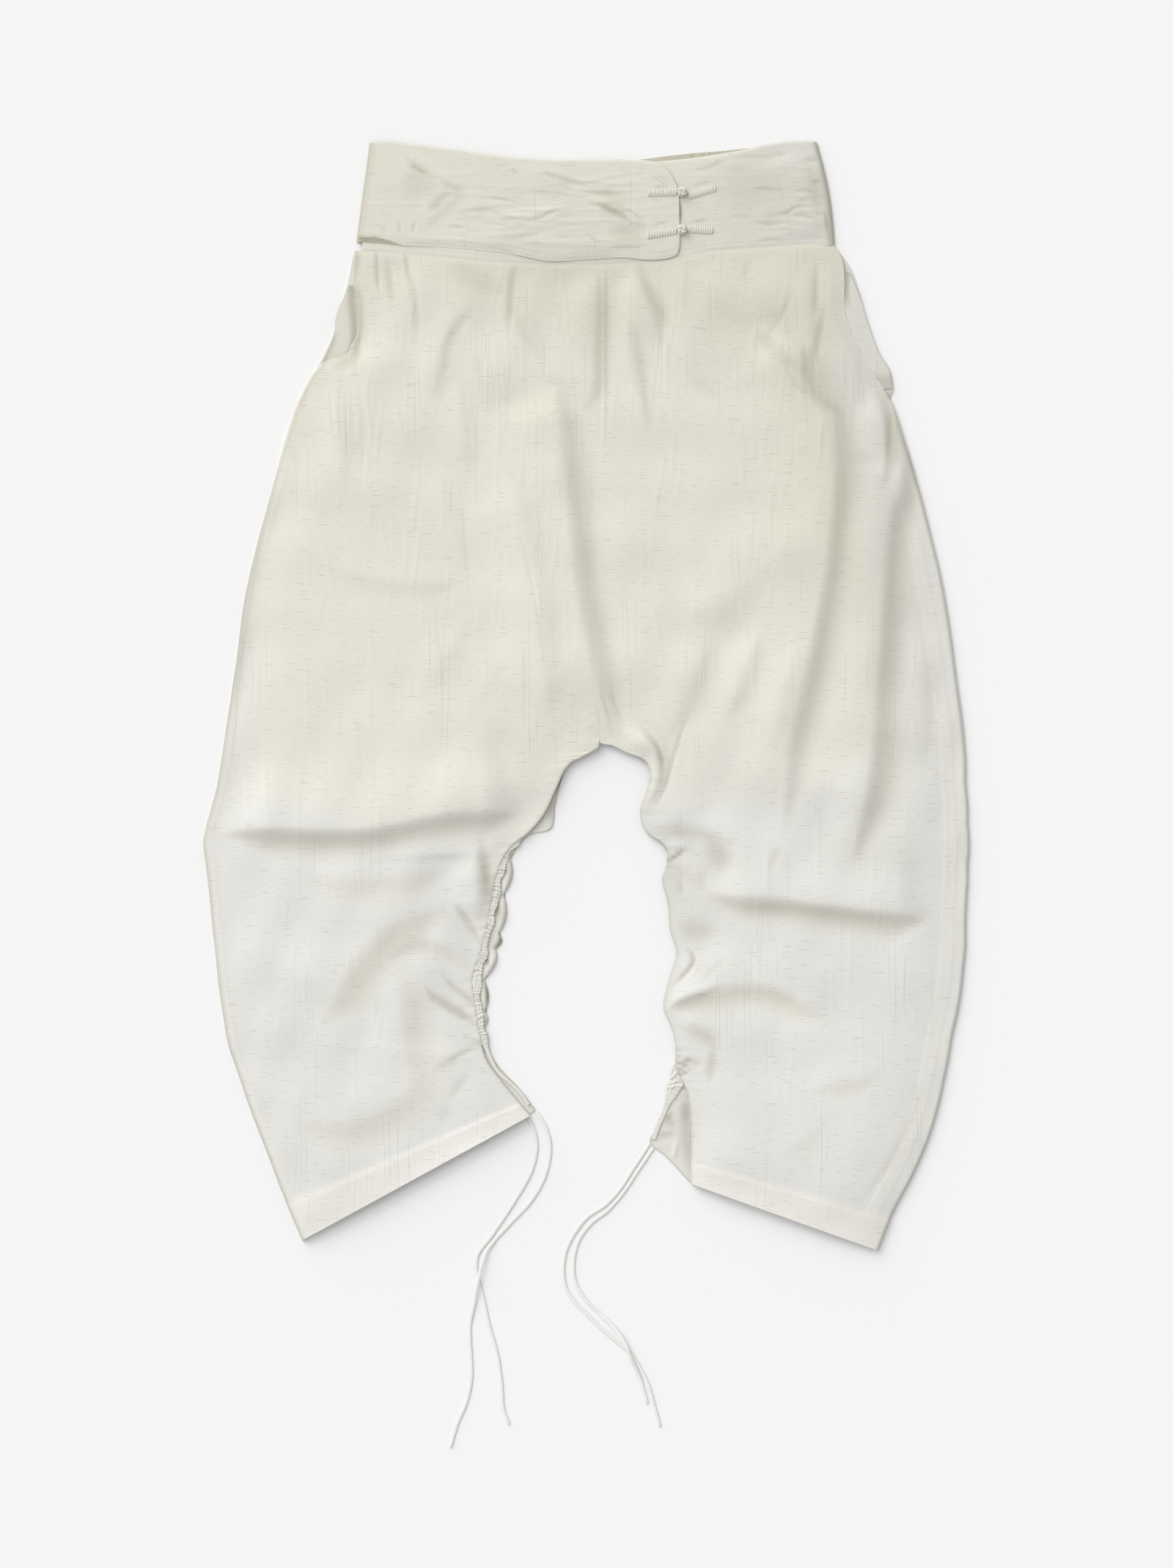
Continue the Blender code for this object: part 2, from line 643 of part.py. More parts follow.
def casing(name, sections, reach, waves, material):
    """A gathered drawstring channel that follows a panel's inner edge between two sections."""
    table = np.asarray(sections, float)
    stations = run_lengths(table[:, 2], table[:, 3])
    first, last = np.interp(reach, np.arange(len(stations)), stations)
    at = np.linspace(first, last, WAVE_STEPS * waves + 1)
    edge_x = smooth_line(stations, table[:, 2], at)
    edge_down = smooth_line(stations, table[:, 3], at)
    run_x = np.gradient(edge_x)
    run_down = np.gradient(edge_down)
    length = np.hypot(run_x, run_down)
    turn = 2 * np.pi * np.arange(len(at)) / WAVE_STEPS
    ruffle = np.sin(turn + 0.9 * np.sin(0.23 * turn))[:, None]
    offsets = CASING_NEAR + (CASING_FAR - CASING_NEAR) * np.array([0.0, 0.35, 0.7, 1.0])
    offsets = offsets + ruffle * np.array([0.0, 0.0, 0.4, 0.7])
    x = edge_x[:, None] + (run_down / length)[:, None] * offsets
    down = edge_down[:, None] - (run_x / length)[:, None] * offsets
    crown = CASING_RISE * np.array([0.1, 1.0, 0.85, 0.1])
    top = EDGE_LOW + CLOTH + crown + CASING_RUFFLE * ruffle * np.array([0.1, 1.0, 1.0, 0.4])
    low = np.maximum(top - CLOTH, EDGE_LOW)
    return wall(name, to_metres(x, down, top), to_metres(x, down, low), material)


def ribbed_bar(bar, material):
    """A frog's bar: a short round stem wrapped with cord, which leaves a rib for each turn."""
    start = np.array([bar.start_x, bar.start_down])
    end = np.array([bar.end_x, bar.end_down])
    run = (end - start) / np.linalg.norm(end - start)
    rings = 2 * FROG_WRAPS + 1
    build = bmesh.new()
    circle = []
    for k in range(rings):
        centre = start + (end - start) * k / (rings - 1)
        radius = FROG_BAR_RADIUS * (1.0 if k % 2 else 0.86)
        if k in (0, rings - 1):
            radius = 0.6 * FROG_BAR_RADIUS
        ring = []
        for side in range(FROG_SIDES):
            angle = 2 * math.pi * (side + 0.5) / FROG_SIDES
            sway = radius * math.cos(angle)
            place_x = centre[0] - run[1] * sway
            place_down = centre[1] + run[0] * sway
            z = bar.bed + SEAM_GAP + FROG_BAR_RADIUS + radius * math.sin(angle)
            ring.append(build.verts.new(to_metres(place_x, place_down, z)))
        circle.append(ring)
    for first, second in zip(circle, circle[1:]):
        for side in range(FROG_SIDES):
            after = (side + 1) % FROG_SIDES
            build.faces.new((first[side], first[after], second[after], second[side]))
    build.faces.new(circle[0])
    build.faces.new(circle[-1])
    return add_object(bar.name, build, material, 70)


def ball_knot(knot, material):
    """A frog's ball knot, which rests on the flap's edge; past_flap is how far its middle lies beyond."""
    build = bmesh.new()
    bmesh.ops.create_uvsphere(build, u_segments=12, v_segments=8, radius=FROG_KNOT_RADIUS * MM)
    squat = FROG_KNOT_HEIGHT / (2 * FROG_KNOT_RADIUS)
    rise = 0.5 * FROG_KNOT_HEIGHT * math.sqrt(1.0 - (knot.past_flap / FROG_KNOT_RADIUS) ** 2)
    centre = to_metres(knot.x, knot.down, FLAP_TOP + SEAM_GAP + rise)
    for vert in build.verts:
        vert.co = Vector((vert.co.x + centre[0], vert.co.y + centre[1], vert.co.z * squat + centre[2]))
    return add_object(knot.name, build, material, 70)


def cord(name, route, material):
    """A drawstring's free end: a round tube along a smooth line through its route."""
    table = np.asarray(route, float)
    stations = run_lengths(table[:, 0], table[:, 1])
    count = int(round(stations[-1] / (CORD_POINT_SPACING * CORD_WIDTH)))
    at = np.linspace(0.0, stations[-1], count + 1)
    x, down, lift = [smooth_line(stations, table[:, k], at) for k in range(3)]
    rest = 0.5 * CORD_WIDTH + CORD_FLOOR_GAP
    places = to_metres(x, down, rest + np.maximum(lift, 0.0))
    curve = bpy.data.curves.new(name, "CURVE")
    curve.dimensions = "3D"
    curve.bevel_depth = 0.5 * CORD_WIDTH * MM
    curve.bevel_resolution = 2
    curve.use_fill_caps = True
    curve.materials.append(material)
    spline = curve.splines.new("POLY")
    spline.points.add(len(places) - 1)
    for point, place in zip(spline.points, places):
        point.co = (place[0], place[1], place[2], 1.0)
    piece = bpy.data.objects.new(name, curve)
    bpy.context.collection.objects.link(piece)
    return piece


def cloth(name, colour):
    return make_material(name, colour, 0.75)


clear_scene()

# Backs, linings and pocket facings, from the table up
flat_panel("back_right", BACK_RIGHT_SECTIONS, 0.0, BACK_CLOTH, True, CROTCH_BACK_RIGHT, -1,
           cloth("back_right", IVORY))
flat_panel("back_left", BACK_LEFT_SECTIONS, 0.0, BACK_CLOTH, True, CROTCH_BACK_LEFT, 1,
           cloth("back_left", IVORY))
flat_panel("lining_right", LINING_RIGHT_SECTIONS, LINING_LOW, LINING_CLOTH, False,
           CROTCH_LINING_RIGHT, -1, cloth("lining_right", LINING_IVORY))
flat_panel("lining_left", LINING_LEFT_SECTIONS, LINING_LOW, LINING_CLOTH, False,
           CROTCH_LINING_LEFT, 1, cloth("lining_left", LINING_IVORY))
flat_panel("pocket_facing_right", FACING_RIGHT_SECTIONS, FACING_LOW, LINING_CLOTH, False, -1, 0,
           cloth("pocket_facing_right", IVORY))
flat_panel("pocket_facing_left", FACING_LEFT_SECTIONS, FACING_LOW, LINING_CLOTH, False, -1, 0,
           cloth("pocket_facing_left", IVORY))

# Fronts
front_panel("front_right", FRONT_RIGHT_SECTIONS, CROTCH_FRONT_RIGHT, -1, cloth("front_right", IVORY))
front_panel("front_left", FRONT_LEFT_SECTIONS, CROTCH_FRONT_LEFT, 1, cloth("front_left", IVORY))

# Waistband: its back, the two front layers and the flap that laps over them
band("waistband_back", BAND_BACK_COLUMNS, 2, 0.0, BAND_BACK_CLOTH, True, "",
     (0.0, 0.0), cloth("waistband_back", BAND_IVORY))
band("waistband_front_right", BAND_RIGHT_COLUMNS, 2, WAIST_LOW, BAND_CLOTH, True, "",
     (0.0, 0.5 * SEAM_GAP), cloth("waistband_front_right", BAND_IVORY))
band("waistband_front_left", BAND_LEFT_COLUMNS, 3, WAIST_LOW, BAND_CLOTH, True, "last",
     (0.5 * SEAM_GAP, 0.0), cloth("waistband_front_left", BAND_IVORY))
band("waist_flap", FLAP_COLUMNS, 4, FLAP_LOW, BAND_CLOTH, False, "first",
     (0.0, 0.0), cloth("waist_flap", BAND_IVORY))

# Drawstring channels, frog closures and the cords' free ends
casing("casing_right", FRONT_RIGHT_SECTIONS, CASING_RIGHT_SECTIONS, CASING_RIGHT_WAVES,
       cloth("casing_right", BAND_IVORY))
casing("casing_left", BACK_LEFT_SECTIONS, CASING_LEFT_SECTIONS, CASING_LEFT_WAVES,
       cloth("casing_left", BAND_IVORY))
for bar in FROG_BARS:
    ribbed_bar(bar, make_material(bar.name, CORD_IVORY, 0.5))
for knot in FROG_KNOTS:
    ball_knot(knot, make_material(knot.name, CORD_IVORY, 0.5))
for name, route in DRAWSTRINGS.items():
    cord(name, route, make_material(name, CORD_IVORY, 0.6))
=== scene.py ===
# %% [markdown]
# # Drop-crotch pants, laid flat
# These pants are cut wide at the hips and narrow at the hems, with the crotch far down.
# They are sewn from ivory silk and linen, and they lie on a table with their front up.
# A rigid model of them is loaded first. It fixes the places and sizes, so everything below is
# fitted to it, in metres, with X across the pants, Y up to the waist and Z up from the table.
#
# Garment makers measure in millimetres, so the tables here do too: `x` runs across from the
# middle, and `down` runs from the waist's top towards the hems.

# %% Load the frame
from collections import namedtuple
import math

import bpy
import numpy as np
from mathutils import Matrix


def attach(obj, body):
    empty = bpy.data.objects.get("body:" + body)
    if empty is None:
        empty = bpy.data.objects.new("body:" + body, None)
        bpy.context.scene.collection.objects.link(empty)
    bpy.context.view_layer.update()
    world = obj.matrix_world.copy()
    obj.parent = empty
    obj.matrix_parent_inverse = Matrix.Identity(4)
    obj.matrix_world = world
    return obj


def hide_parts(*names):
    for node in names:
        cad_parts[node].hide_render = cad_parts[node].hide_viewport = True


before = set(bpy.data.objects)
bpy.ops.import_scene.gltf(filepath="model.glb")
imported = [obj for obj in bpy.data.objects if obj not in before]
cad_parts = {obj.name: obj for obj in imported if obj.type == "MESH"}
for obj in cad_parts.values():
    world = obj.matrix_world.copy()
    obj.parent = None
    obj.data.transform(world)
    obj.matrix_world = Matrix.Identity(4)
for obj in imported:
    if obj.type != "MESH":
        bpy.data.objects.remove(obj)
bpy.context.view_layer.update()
MM = 0.001
LAID_LENGTH = 999.0
print("nodes in the frame:", len(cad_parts))


def to_metres(x, down, z):
    """Places on the table, from millimetres across, down and up."""
    y = 0.5 * LAID_LENGTH - np.asarray(down, float)
    return np.stack([np.asarray(x, float) * MM, y * MM, np.asarray(z, float) * MM], axis=-1)

# %% [markdown]
# ## Camera
# A garment on a table is shot from straight above, with a long lens, so that its edges don't
# lean. One pixel of the picture covers 0.66 mm of cloth. A camera's field of view gives its
# distance: the picture's height is to the distance as the sensor's size is to the focal length.

# %% Camera
PICTURE_HEIGHT = 2138
MM_PER_PIXEL = 0.66
VIEW_X = 1.0
VIEW_DOWN = 579.5
FOCAL_LENGTH = 200.0
SENSOR = 36.0

camera_data = bpy.data.cameras.new("camera")
camera_data.lens = FOCAL_LENGTH
camera_data.sensor_width = SENSOR
camera = bpy.data.objects.new("camera", camera_data)
bpy.context.collection.objects.link(camera)
camera_height = PICTURE_HEIGHT * MM_PER_PIXEL * FOCAL_LENGTH / SENSOR
camera.location = to_metres(VIEW_X, VIEW_DOWN, camera_height)
bpy.context.scene.camera = camera
bpy.context.scene.view_settings.view_transform = "Standard"
print("camera height in m:", round(camera_height * MM, 2))

# %% [markdown]
# ## Smooth lines through a few points
# A pattern maker marks a few points and joins them with a curved ruler. The function below does
# the same: a cubic curve passes through each point, and its slope there comes from the two
# neighbours. Outlines, seams and cords all come from it, so each table needs only the points
# that its shape turns on.

# %% Smooth lines
def run_lengths(x, down):
    """Length along a line of places, from 0 at its first place."""
    return np.concatenate(([0.0], np.cumsum(np.hypot(np.diff(x), np.diff(down)))))


def smooth_line(stations, values, at):
    """Reads a smooth curve through a table's column at the given stations."""
    stations = np.asarray(stations, float)
    values = np.asarray(values, float)
    secant = np.diff(values) / np.diff(stations)
    slope = np.concatenate(([secant[0]], 0.5 * (secant[1:] + secant[:-1]), [secant[-1]]))
    place = np.clip(np.searchsorted(stations, at, side="right") - 1, 0, len(stations) - 2)
    span = stations[place + 1] - stations[place]
    part = (at - stations[place]) / span
    start_share = 2 * part**3 - 3 * part**2 + 1
    start_slope = part**3 - 2 * part**2 + part
    end_share = 3 * part**2 - 2 * part**3
    end_slope = part**3 - part**2
    return (start_share * values[place] + start_slope * span * slope[place]
            + end_share * values[place + 1] + end_slope * span * slope[place + 1])


def smooth_route(points, step):
    """Even points along a smooth curve through a table of points, a step apart."""
    table = np.asarray(points, float)
    stations = run_lengths(table[:, 0], table[:, 1])
    count = int(round(stations[-1] / step))
    at = np.linspace(0.0, stations[-1], count + 1)
    return np.stack([smooth_line(stations, column, at) for column in table.T], axis=-1)


sample = smooth_route([(0, 0), (30, 40), (60, 0)], 5.0)
print("a line through 3 points became", len(sample), "points")

# %% [markdown]
# ## Soft steps
# Cloth has no sudden steps, so nothing below starts or stops at once. `eased` goes softly from 0
# to 1, `rounded` climbs like the quarter circle of a rolled edge, and `bell` is 1 in its middle
# and fades to both sides.

# %% Soft steps
def eased(share):
    """Soft step from 0 to 1."""
    share = np.clip(share, 0.0, 1.0)
    return share * share * (3.0 - 2.0 * share)


def rounded(distance, reach):
    """Quarter circle from 0 at an edge to 1 at its reach."""
    part = np.clip(1.0 - distance / reach, 0.0, 1.0)
    return np.sqrt(1.0 - part**2)


def bell(distance, reach):
    """Soft hump: 1 at no distance, about a third at its reach, then nothing."""
    return np.exp(-((distance / reach) ** 2))


print("halfway, eased and rounded give", float(eased(0.5)), round(float(rounded(0.5, 1.0)), 3))

# %% [markdown]
# ## Meshes and finishes
# Every piece below ends as a mesh whose points were worked out with numpy, which is fast for
# tens of thousands of points. `make_mesh` turns such arrays into a Blender object, stores a UV
# map in metres of cloth, and keeps extra numbers on the points, which the materials read later.

# %% Mesh helpers
BODY = "root"
SHARP_ANGLE = 60


def make_mesh(name, points, faces, material, cloth_uv=None, marks=None, sharp=SHARP_ANGLE):
    """A piece from arrays of points and faces, with its UV map and its marks on the points."""
    mesh = bpy.data.meshes.new(name)
    mesh.from_pydata([tuple(point) for point in points.tolist()], [], faces)
    mesh.shade_smooth()
    mesh.set_sharp_from_angle(angle=math.radians(sharp))
    if cloth_uv is not None:
        corner = np.zeros(len(mesh.loops), np.int32)
        mesh.loops.foreach_get("vertex_index", corner)
        layer = mesh.uv_layers.new(name="cloth")
        layer.data.foreach_set("uv", cloth_uv[corner].astype(np.float32).ravel())
    for mark, values in (marks or {}).items():
        attribute = mesh.attributes.new(mark, "FLOAT", "POINT")
        attribute.data.foreach_set("value", values.astype(np.float32))
    mesh.materials.append(material)
    piece = bpy.data.objects.new(name, mesh)
    bpy.context.collection.objects.link(piece)
    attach(piece, BODY)
    return piece


def add_node(tree, kind, inputs=(), **settings):
    """A shader node whose inputs are numbers, colours or other nodes' outputs."""
    made = tree.nodes.new(kind)
    for name, value in settings.items():
        setattr(made, name, value)
    for key, value in dict(inputs).items():
        if isinstance(value, bpy.types.NodeSocket):
            tree.links.new(value, made.inputs[key])
        else:
            made.inputs[key].default_value = value
    return made


def blank_material(name):
    """A new material with its node tree and its main shader."""
    material = bpy.data.materials.new(name)
    material.use_nodes = True
    return material, material.node_tree, material.node_tree.nodes["Principled BSDF"]


def sum_of(tree, first, second, factor):
    """first + second × factor, as one node."""
    made = add_node(tree, "ShaderNodeMath", {0: second, 1: factor, 2: first}, operation="MULTIPLY_ADD")
    return made.outputs[0]


print("every piece rides on the body", BODY)

# %% [markdown]
# ## Tubes
# Drawstrings and frog cords are both round tubes at heart: a row of rings along a path, joined by
# quads, with a cap at each end. Blender's curves can have a round bevel, which gives such a tube
# at once. Rings of points are used here instead, because each ring can then have a width and a
# height of its own, and because cloth tubes are never quite even.

# %% Tubes
def tube_along(path, sides, half_width, half_height):
    """Rings of points round a path; the two halves may differ from ring to ring."""
    run = np.gradient(path, axis=0)
    run /= np.linalg.norm(run, axis=1, keepdims=True)
    across = np.cross(run, (0.0, 0.0, 1.0))
    across /= np.linalg.norm(across, axis=1, keepdims=True)
    up = np.cross(across, run)
    turn = 2 * np.pi * np.arange(sides) / sides
    sway = np.cos(turn)[None, :, None] * across[:, None, :] * half_width[:, None, None]
    lift = np.sin(turn)[None, :, None] * up[:, None, :] * half_height[:, None, None]
    return path[:, None, :] + sway + lift


def tube_faces(rings, sides):
    """Quads between the rings and a cap at each end."""
    faces = []
    for ring in range(rings - 1):
        for side in range(sides):
            after = (side + 1) % sides
            near, far = ring * sides, (ring + 1) * sides
            faces.append((near + side, far + side, far + after, near + after))
    faces.append(tuple(range(sides)))
    faces.append(tuple(range((rings - 1) * sides + sides - 1, (rings - 1) * sides - 1, -1)))
    return faces


print("a tube of 3 rings with 8 sides has", len(tube_faces(3, 8)), "faces")

# %% [markdown]
# ## The drawstrings
# Each leg has one drawstring, a narrow tube of the same cloth turned right side out. It runs
# inside the gathered channel, and its two ends hang free at the hem. Where two ends cross, one
# passes over the other in a long low hump.
#
# A turned tube of thin cloth lies almost flat, like a soft ribbon, so each ring is much wider
# than high, and swells a little from place to place. The route's points are the same as the
# rigid model's: across, down, and how far the cord is lifted where it crosses another.

# %% Drawstring cloth
CORD_IVORY = (0.81, 0.805, 0.78)
CORD_SHEEN = 0.15


def cord_material(name, ivory, roughness, rib_scale, rib_depth):
    """Ivory cord whose fine ribs run across it, as a bump along the UV map."""
    material, tree, shader = blank_material(name)
    place = add_node(tree, "ShaderNodeUVMap", uv_map="cloth").outputs[0]
    stretched = add_node(tree, "ShaderNodeVectorMath", {0: place, 1: rib_scale}, operation="MULTIPLY")
    grain = add_node(tree, "ShaderNodeTexNoise", {
        "Vector": stretched.outputs[0], "Scale": 1.0, "Detail": 3.0})
    swing = add_node(tree, "ShaderNodeMapRange", {
        "Value": grain.outputs[0], "From Min": 0.3, "From Max": 0.7, "To Min": 0.9, "To Max": 1.04})
    tint = add_node(tree, "ShaderNodeVectorMath", {0: ivory, 3: swing.outputs[0]}, operation="SCALE")
    bump = add_node(tree, "ShaderNodeBump", {"Height": grain.outputs[0], "Distance": rib_depth})
    tree.links.new(tint.outputs[0], shader.inputs["Base Color"])
    tree.links.new(bump.outputs[0], shader.inputs["Normal"])
    shader.inputs["Roughness"].default_value = roughness
    shader.inputs["Sheen Weight"].default_value = CORD_SHEEN
    return material


drawstring_cloth = cord_material("drawstring_cloth", CORD_IVORY, 0.9, (900.0, 700.0, 1.0), 0.0003)
print("cord material:", drawstring_cloth.name)

# %% Drawstrings
CORD_WIDTH = 3.2
CORD_FLATNESS = 0.27
CORD_SIDES = 14
CORD_STEP = 1.6
CORD_REST = 0.5 * CORD_WIDTH * CORD_FLATNESS + 0.05
CORD_SWELLS = (11.0, 17.0, 29.0)
SWELL_SHARE = 0.03
LAST_PHASE = 6.28
TIP_WIDTH = 0.55
TIP_REACH = 2.5
CORD_ROUND = 10.0

DRAWSTRINGS = {
    "drawstring_right_inner": [
        (-52.0, 880.0, 0), (-47, 889, 0), (-44, 904, 0), (-46, 919, 0), (-50, 931, 0), (-56, 942, 0),
        (-69, 963, 0), (-86, 988, 0), (-97, 1003, 0), (-98.5, 1014, 0), (-96, 1028, 0), (-92, 1043, 0),
        (-87, 1066, 0), (-80, 1091, 0), (-76, 1117, 0), (-74, 1142, 0), (-69, 1156, 0)],
    "drawstring_right_outer": [
        (-44.6, 873.6, 0), (-36, 888, 0), (-32, 904, 0), (-33, 919, 0), (-39, 938, 0), (-50, 956, 0),
        (-65, 972, 0), (-79, 987, 0), (-88.5, 999, 1.6), (-93.5, 1013, 3.6), (-97, 1029, 3.6),
        (-100, 1046, 1.2), (-104, 1066, 0), (-104, 1082, 0), (-103, 1098, 0), (-103, 1115, 0),
        (-107, 1135, 0), (-115, 1154, 0), (-122, 1177, 0)],
    "drawstring_left_outer": [
        (57.4, 903.4, 0), (44, 924, 0), (28, 948, 0), (17, 959, 0), (2, 969, 0), (-10, 984, 0),
        (-18, 1001, 0), (-20, 1018, 0), (-18, 1032, 0), (-11, 1044, 0), (-2, 1053, 0), (13, 1068, 0),
        (28, 1081, 0), (39, 1090, 0), (48, 1103, 0), (56, 1119, 0), (62, 1140, 0), (67, 1158, 0)],
    "drawstring_left_inner": [
        (61.0, 906.9, 0), (47.5, 927, 0), (31.5, 950.5, 0), (19, 964, 0), (5, 975, 0), (-6, 990, 0),
        (-11, 1011, 0), (-9, 1028, 0), (-1, 1042, 0), (12, 1055, 0), (27, 1070, 2.2), (35, 1082, 3.7),
        (40.5, 1095, 3.5), (46, 1107, 1.2), (50, 1117, 0), (53, 1128, 0), (55.5, 1137, 0)],
}


def make_drawstring(name, route, seed):
    path = smooth_route(route, CORD_STEP)
    path[:, 2] = CORD_REST + np.maximum(path[:, 2], 0.0)
    source = np.random.default_rng(seed)
    along = run_lengths(path[:, 0], path[:, 1])
    swell = sum(np.sin(2 * np.pi * along / length + source.uniform(0, LAST_PHASE))
                for length in CORD_SWELLS)
    from_tip = np.minimum(along, along[-1] - along)
    taper = TIP_WIDTH + (1.0 - TIP_WIDTH) * rounded(from_tip, TIP_REACH)
    half_width = 0.5 * CORD_WIDTH * taper * (1.0 + SWELL_SHARE * swell)
    half_height = half_width * CORD_FLATNESS
    centre = to_metres(path[:, 0], path[:, 1], path[:, 2])
    rings = tube_along(centre, CORD_SIDES, half_width * MM, half_height * MM)
    around = CORD_ROUND * np.arange(CORD_SIDES) / CORD_SIDES
    uv = np.stack(np.broadcast_arrays(along[:, None], around), axis=-1)
    piece = make_mesh(name + "_cloth", rings.reshape(-1, 3), tube_faces(len(path), CORD_SIDES),
                      drawstring_cloth, cloth_uv=uv.reshape(-1, 2) * MM)
    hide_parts(name)


for seed, (name, route) in enumerate(DRAWSTRINGS.items()):
    make_drawstring(name, route, seed)

# %% [markdown]
# ## Table and light
# The pants lie on a plain white table. A large window-like light stands at the upper left, so
# each crease is bright on its upper left and dark on its lower right. A sun lamp with a wide
# angle does this: its size in degrees softens the shadows, and its tilt sets how long they are.
# A second, lower lamp draws the broad soft shadow beside the hems, and the world's own even
# light fills the rest.

# %% Table
TABLE_WHITE = (0.86, 0.86, 0.86, 1.0)
TABLE_HALF = 6.0
TABLE_DROP = 0.0004

table_finish, _, table_shader = blank_material("table")
table_shader.inputs["Base Color"].default_value = TABLE_WHITE
table_shader.inputs["Roughness"].default_value = 0.9
table_shader.inputs["Specular IOR Level"].default_value = 0.1
corners = [(side_x * TABLE_HALF, side_y * TABLE_HALF, -TABLE_DROP)
           for side_x, side_y in ((-1, -1), (1, -1), (1, 1), (-1, 1))]
table_mesh = bpy.data.meshes.new("table")
table_mesh.from_pydata(corners, [], [(0, 1, 2, 3)])
table_mesh.materials.append(table_finish)
table_top = bpy.data.objects.new("table", table_mesh)
bpy.context.collection.objects.link(table_top)
print("the table is", 2 * TABLE_HALF, "m wide")

# %% Light
Lamp = namedtuple("Lamp", "name power elevation direction width")
LAMPS = [
    Lamp("window", 1.16, 54.0, 135.0, 50.0),
    Lamp("low_window", 1.65, 23.0, 130.0, 44.0),
]
SKY_WHITE = (1.0, 1.0, 1.0, 1.0)
SKY_POWER = 0.56

for lamp in LAMPS:
    light = bpy.data.lights.new(lamp.name, "SUN")
    light.energy = lamp.power
    light.angle = math.radians(lamp.width)
    holder = bpy.data.objects.new(lamp.name, light)
    bpy.context.collection.objects.link(holder)
    holder.rotation_euler = (math.radians(90.0 - lamp.elevation), 0.0, math.radians(lamp.direction + 90.0))

sky = bpy.data.worlds.new("sky")
sky.use_nodes = True
background = sky.node_tree.nodes["Background"]
background.inputs["Color"].default_value = SKY_WHITE
background.inputs["Strength"].default_value = SKY_POWER
bpy.context.scene.world = sky
print("lamps:", [lamp.name for lamp in LAMPS])

# %% [markdown]
# ## Slubbed silk and linen
# The cloth is plain woven from uneven yarn. Thick places in the yarn, called slubs, show as
# short marks across the legs, and long faint streaks run down them. Where a leg is lined, the
# lining shows through as a warmer tone, and where the cloth is doubled, in hems, bands and
# seam allowances, less light passes and it looks whiter.
#
# One material does this for every cloth piece. Noise stretched along the UV map makes the slubs
# and streaks, because the map is in metres of cloth and follows the grain. The table gives each
# kind of noise by how often it varies in a metre across and down, and by the cut that keeps only
# its peaks: what lies below `low` becomes 0, and what lies above `high` becomes 1.

# %% Noise along the grain
Noise = namedtuple("Noise", "across down detail low high")
NOISES = {
    "slubs": Noise(62.0, 1350.0, 1.0, 0.665, 0.765),
    "upright_slubs": Noise(1150.0, 52.0, 1.0, 0.72, 0.80),
    "creases": Noise(640.0, 7.0, 1.0, 0.60, 0.70),
    "crowded": Noise(34.0, 7.0, 1.0, 0.52, 0.62),
    "streaks": Noise(700.0, 11.0, 2.0, 0.25, 0.75),
    "patches": Noise(22.0, 17.0, 3.0, 0.3, 0.7),
    "weft": Noise(260.0, 2600.0, 1.0, 0.0, 1.0),
    "warp": Noise(2600.0, 260.0, 1.0, 0.0, 1.0),
    "crinkles": Noise(420.0, 16.0, 2.0, 0.0, 1.0),
}
GRAIN_DRIFT = 9.0
GRAIN_BEND = 0.007


def product_of(tree, first, second):
    made = add_node(tree, "ShaderNodeMath", {0: first, 1: second}, operation="MULTIPLY")
    return made.outputs[0]


def bent_grain(tree):
    """Places on the cloth, bent a little, because no thread is dead straight."""
    place = add_node(tree, "ShaderNodeUVMap", uv_map="cloth").outputs[0]
    drift = add_node(tree, "ShaderNodeTexNoise", {"Vector": place, "Scale": GRAIN_DRIFT, "Detail": 1.0})
    bend = add_node(tree, "ShaderNodeVectorMath", {0: drift.outputs[1], 3: GRAIN_BEND}, operation="SCALE")
    made = add_node(tree, "ShaderNodeVectorMath", {0: place, 1: bend.outputs[0]}, operation="ADD")
    return made.outputs[0]


def grain_noises(tree):
    """One output for each kind of noise in the table; creases come in crowds."""
    place = bent_grain(tree)
    outputs = {}
    for kind, noise in NOISES.items():
        stretch = add_node(tree, "ShaderNodeVectorMath", {
            0: place, 1: (noise.across, noise.down, 1.0)}, operation="MULTIPLY")
        grain = add_node(tree, "ShaderNodeTexNoise", {
            "Vector": stretch.outputs[0], "Scale": 1.0, "Detail": noise.detail})
        cut = add_node(tree, "ShaderNodeMapRange", {
            "Value": grain.outputs[0], "From Min": noise.low, "From Max": noise.high})
        outputs[kind] = cut.outputs[0]
    outputs["creases"] = product_of(tree, outputs["creases"], outputs["crowded"])
    return outputs


print("kinds of noise in the cloth:", len(NOISES))

# %% [markdown]
# The points of each piece carry three marks, and the shader mixes its tones by them. The first
# says how much of the lining's warmer tone shows, and it also carries painted warm shade at the
# feet of folds, in the channels' valleys and in the flap's gap. The second says where the cloth
# is doubled. The third is painted shade, and painted light where it is below zero. The painted
# shade takes more blue than red away, so it looks a little yellow.

# %% Cloth material
# The lining's warmer tone; the same tone also paints warm shade at the feet of folds, in the channels'
# valleys and in the flap's gap
LINING_AND_WARM_SHADE_TONE = (0.705, 0.686, 0.596, 1.0)
THIN_TONE = (0.700, 0.692, 0.654, 1.0)
DOUBLED_TONE = (0.745, 0.725, 0.675, 1.0)
SLUB_TONE = (0.70, 0.665, 0.545, 1.0)
SLUB_WARMTH = 0.5
# How much the painted shade takes from red, green and blue
PAINTED_SHADE_LOSS = (1.0, 1.03, 1.20)
BASE_LIGHT = 0.985
LIGHT_SHARES = {"streaks": 0.012, "patches": 0.020, "slubs": -0.10, "upright_slubs": -0.10,
                "creases": -0.022}
HEIGHT_SHARES = {"weft": 0.03, "warp": 0.03, "slubs": 0.16, "creases": -0.15}
CLOTH_GLOSS = {"Roughness": 0.62, "Specular IOR Level": 0.3, "Sheen Weight": 0.12, "Sheen Roughness": 0.4}


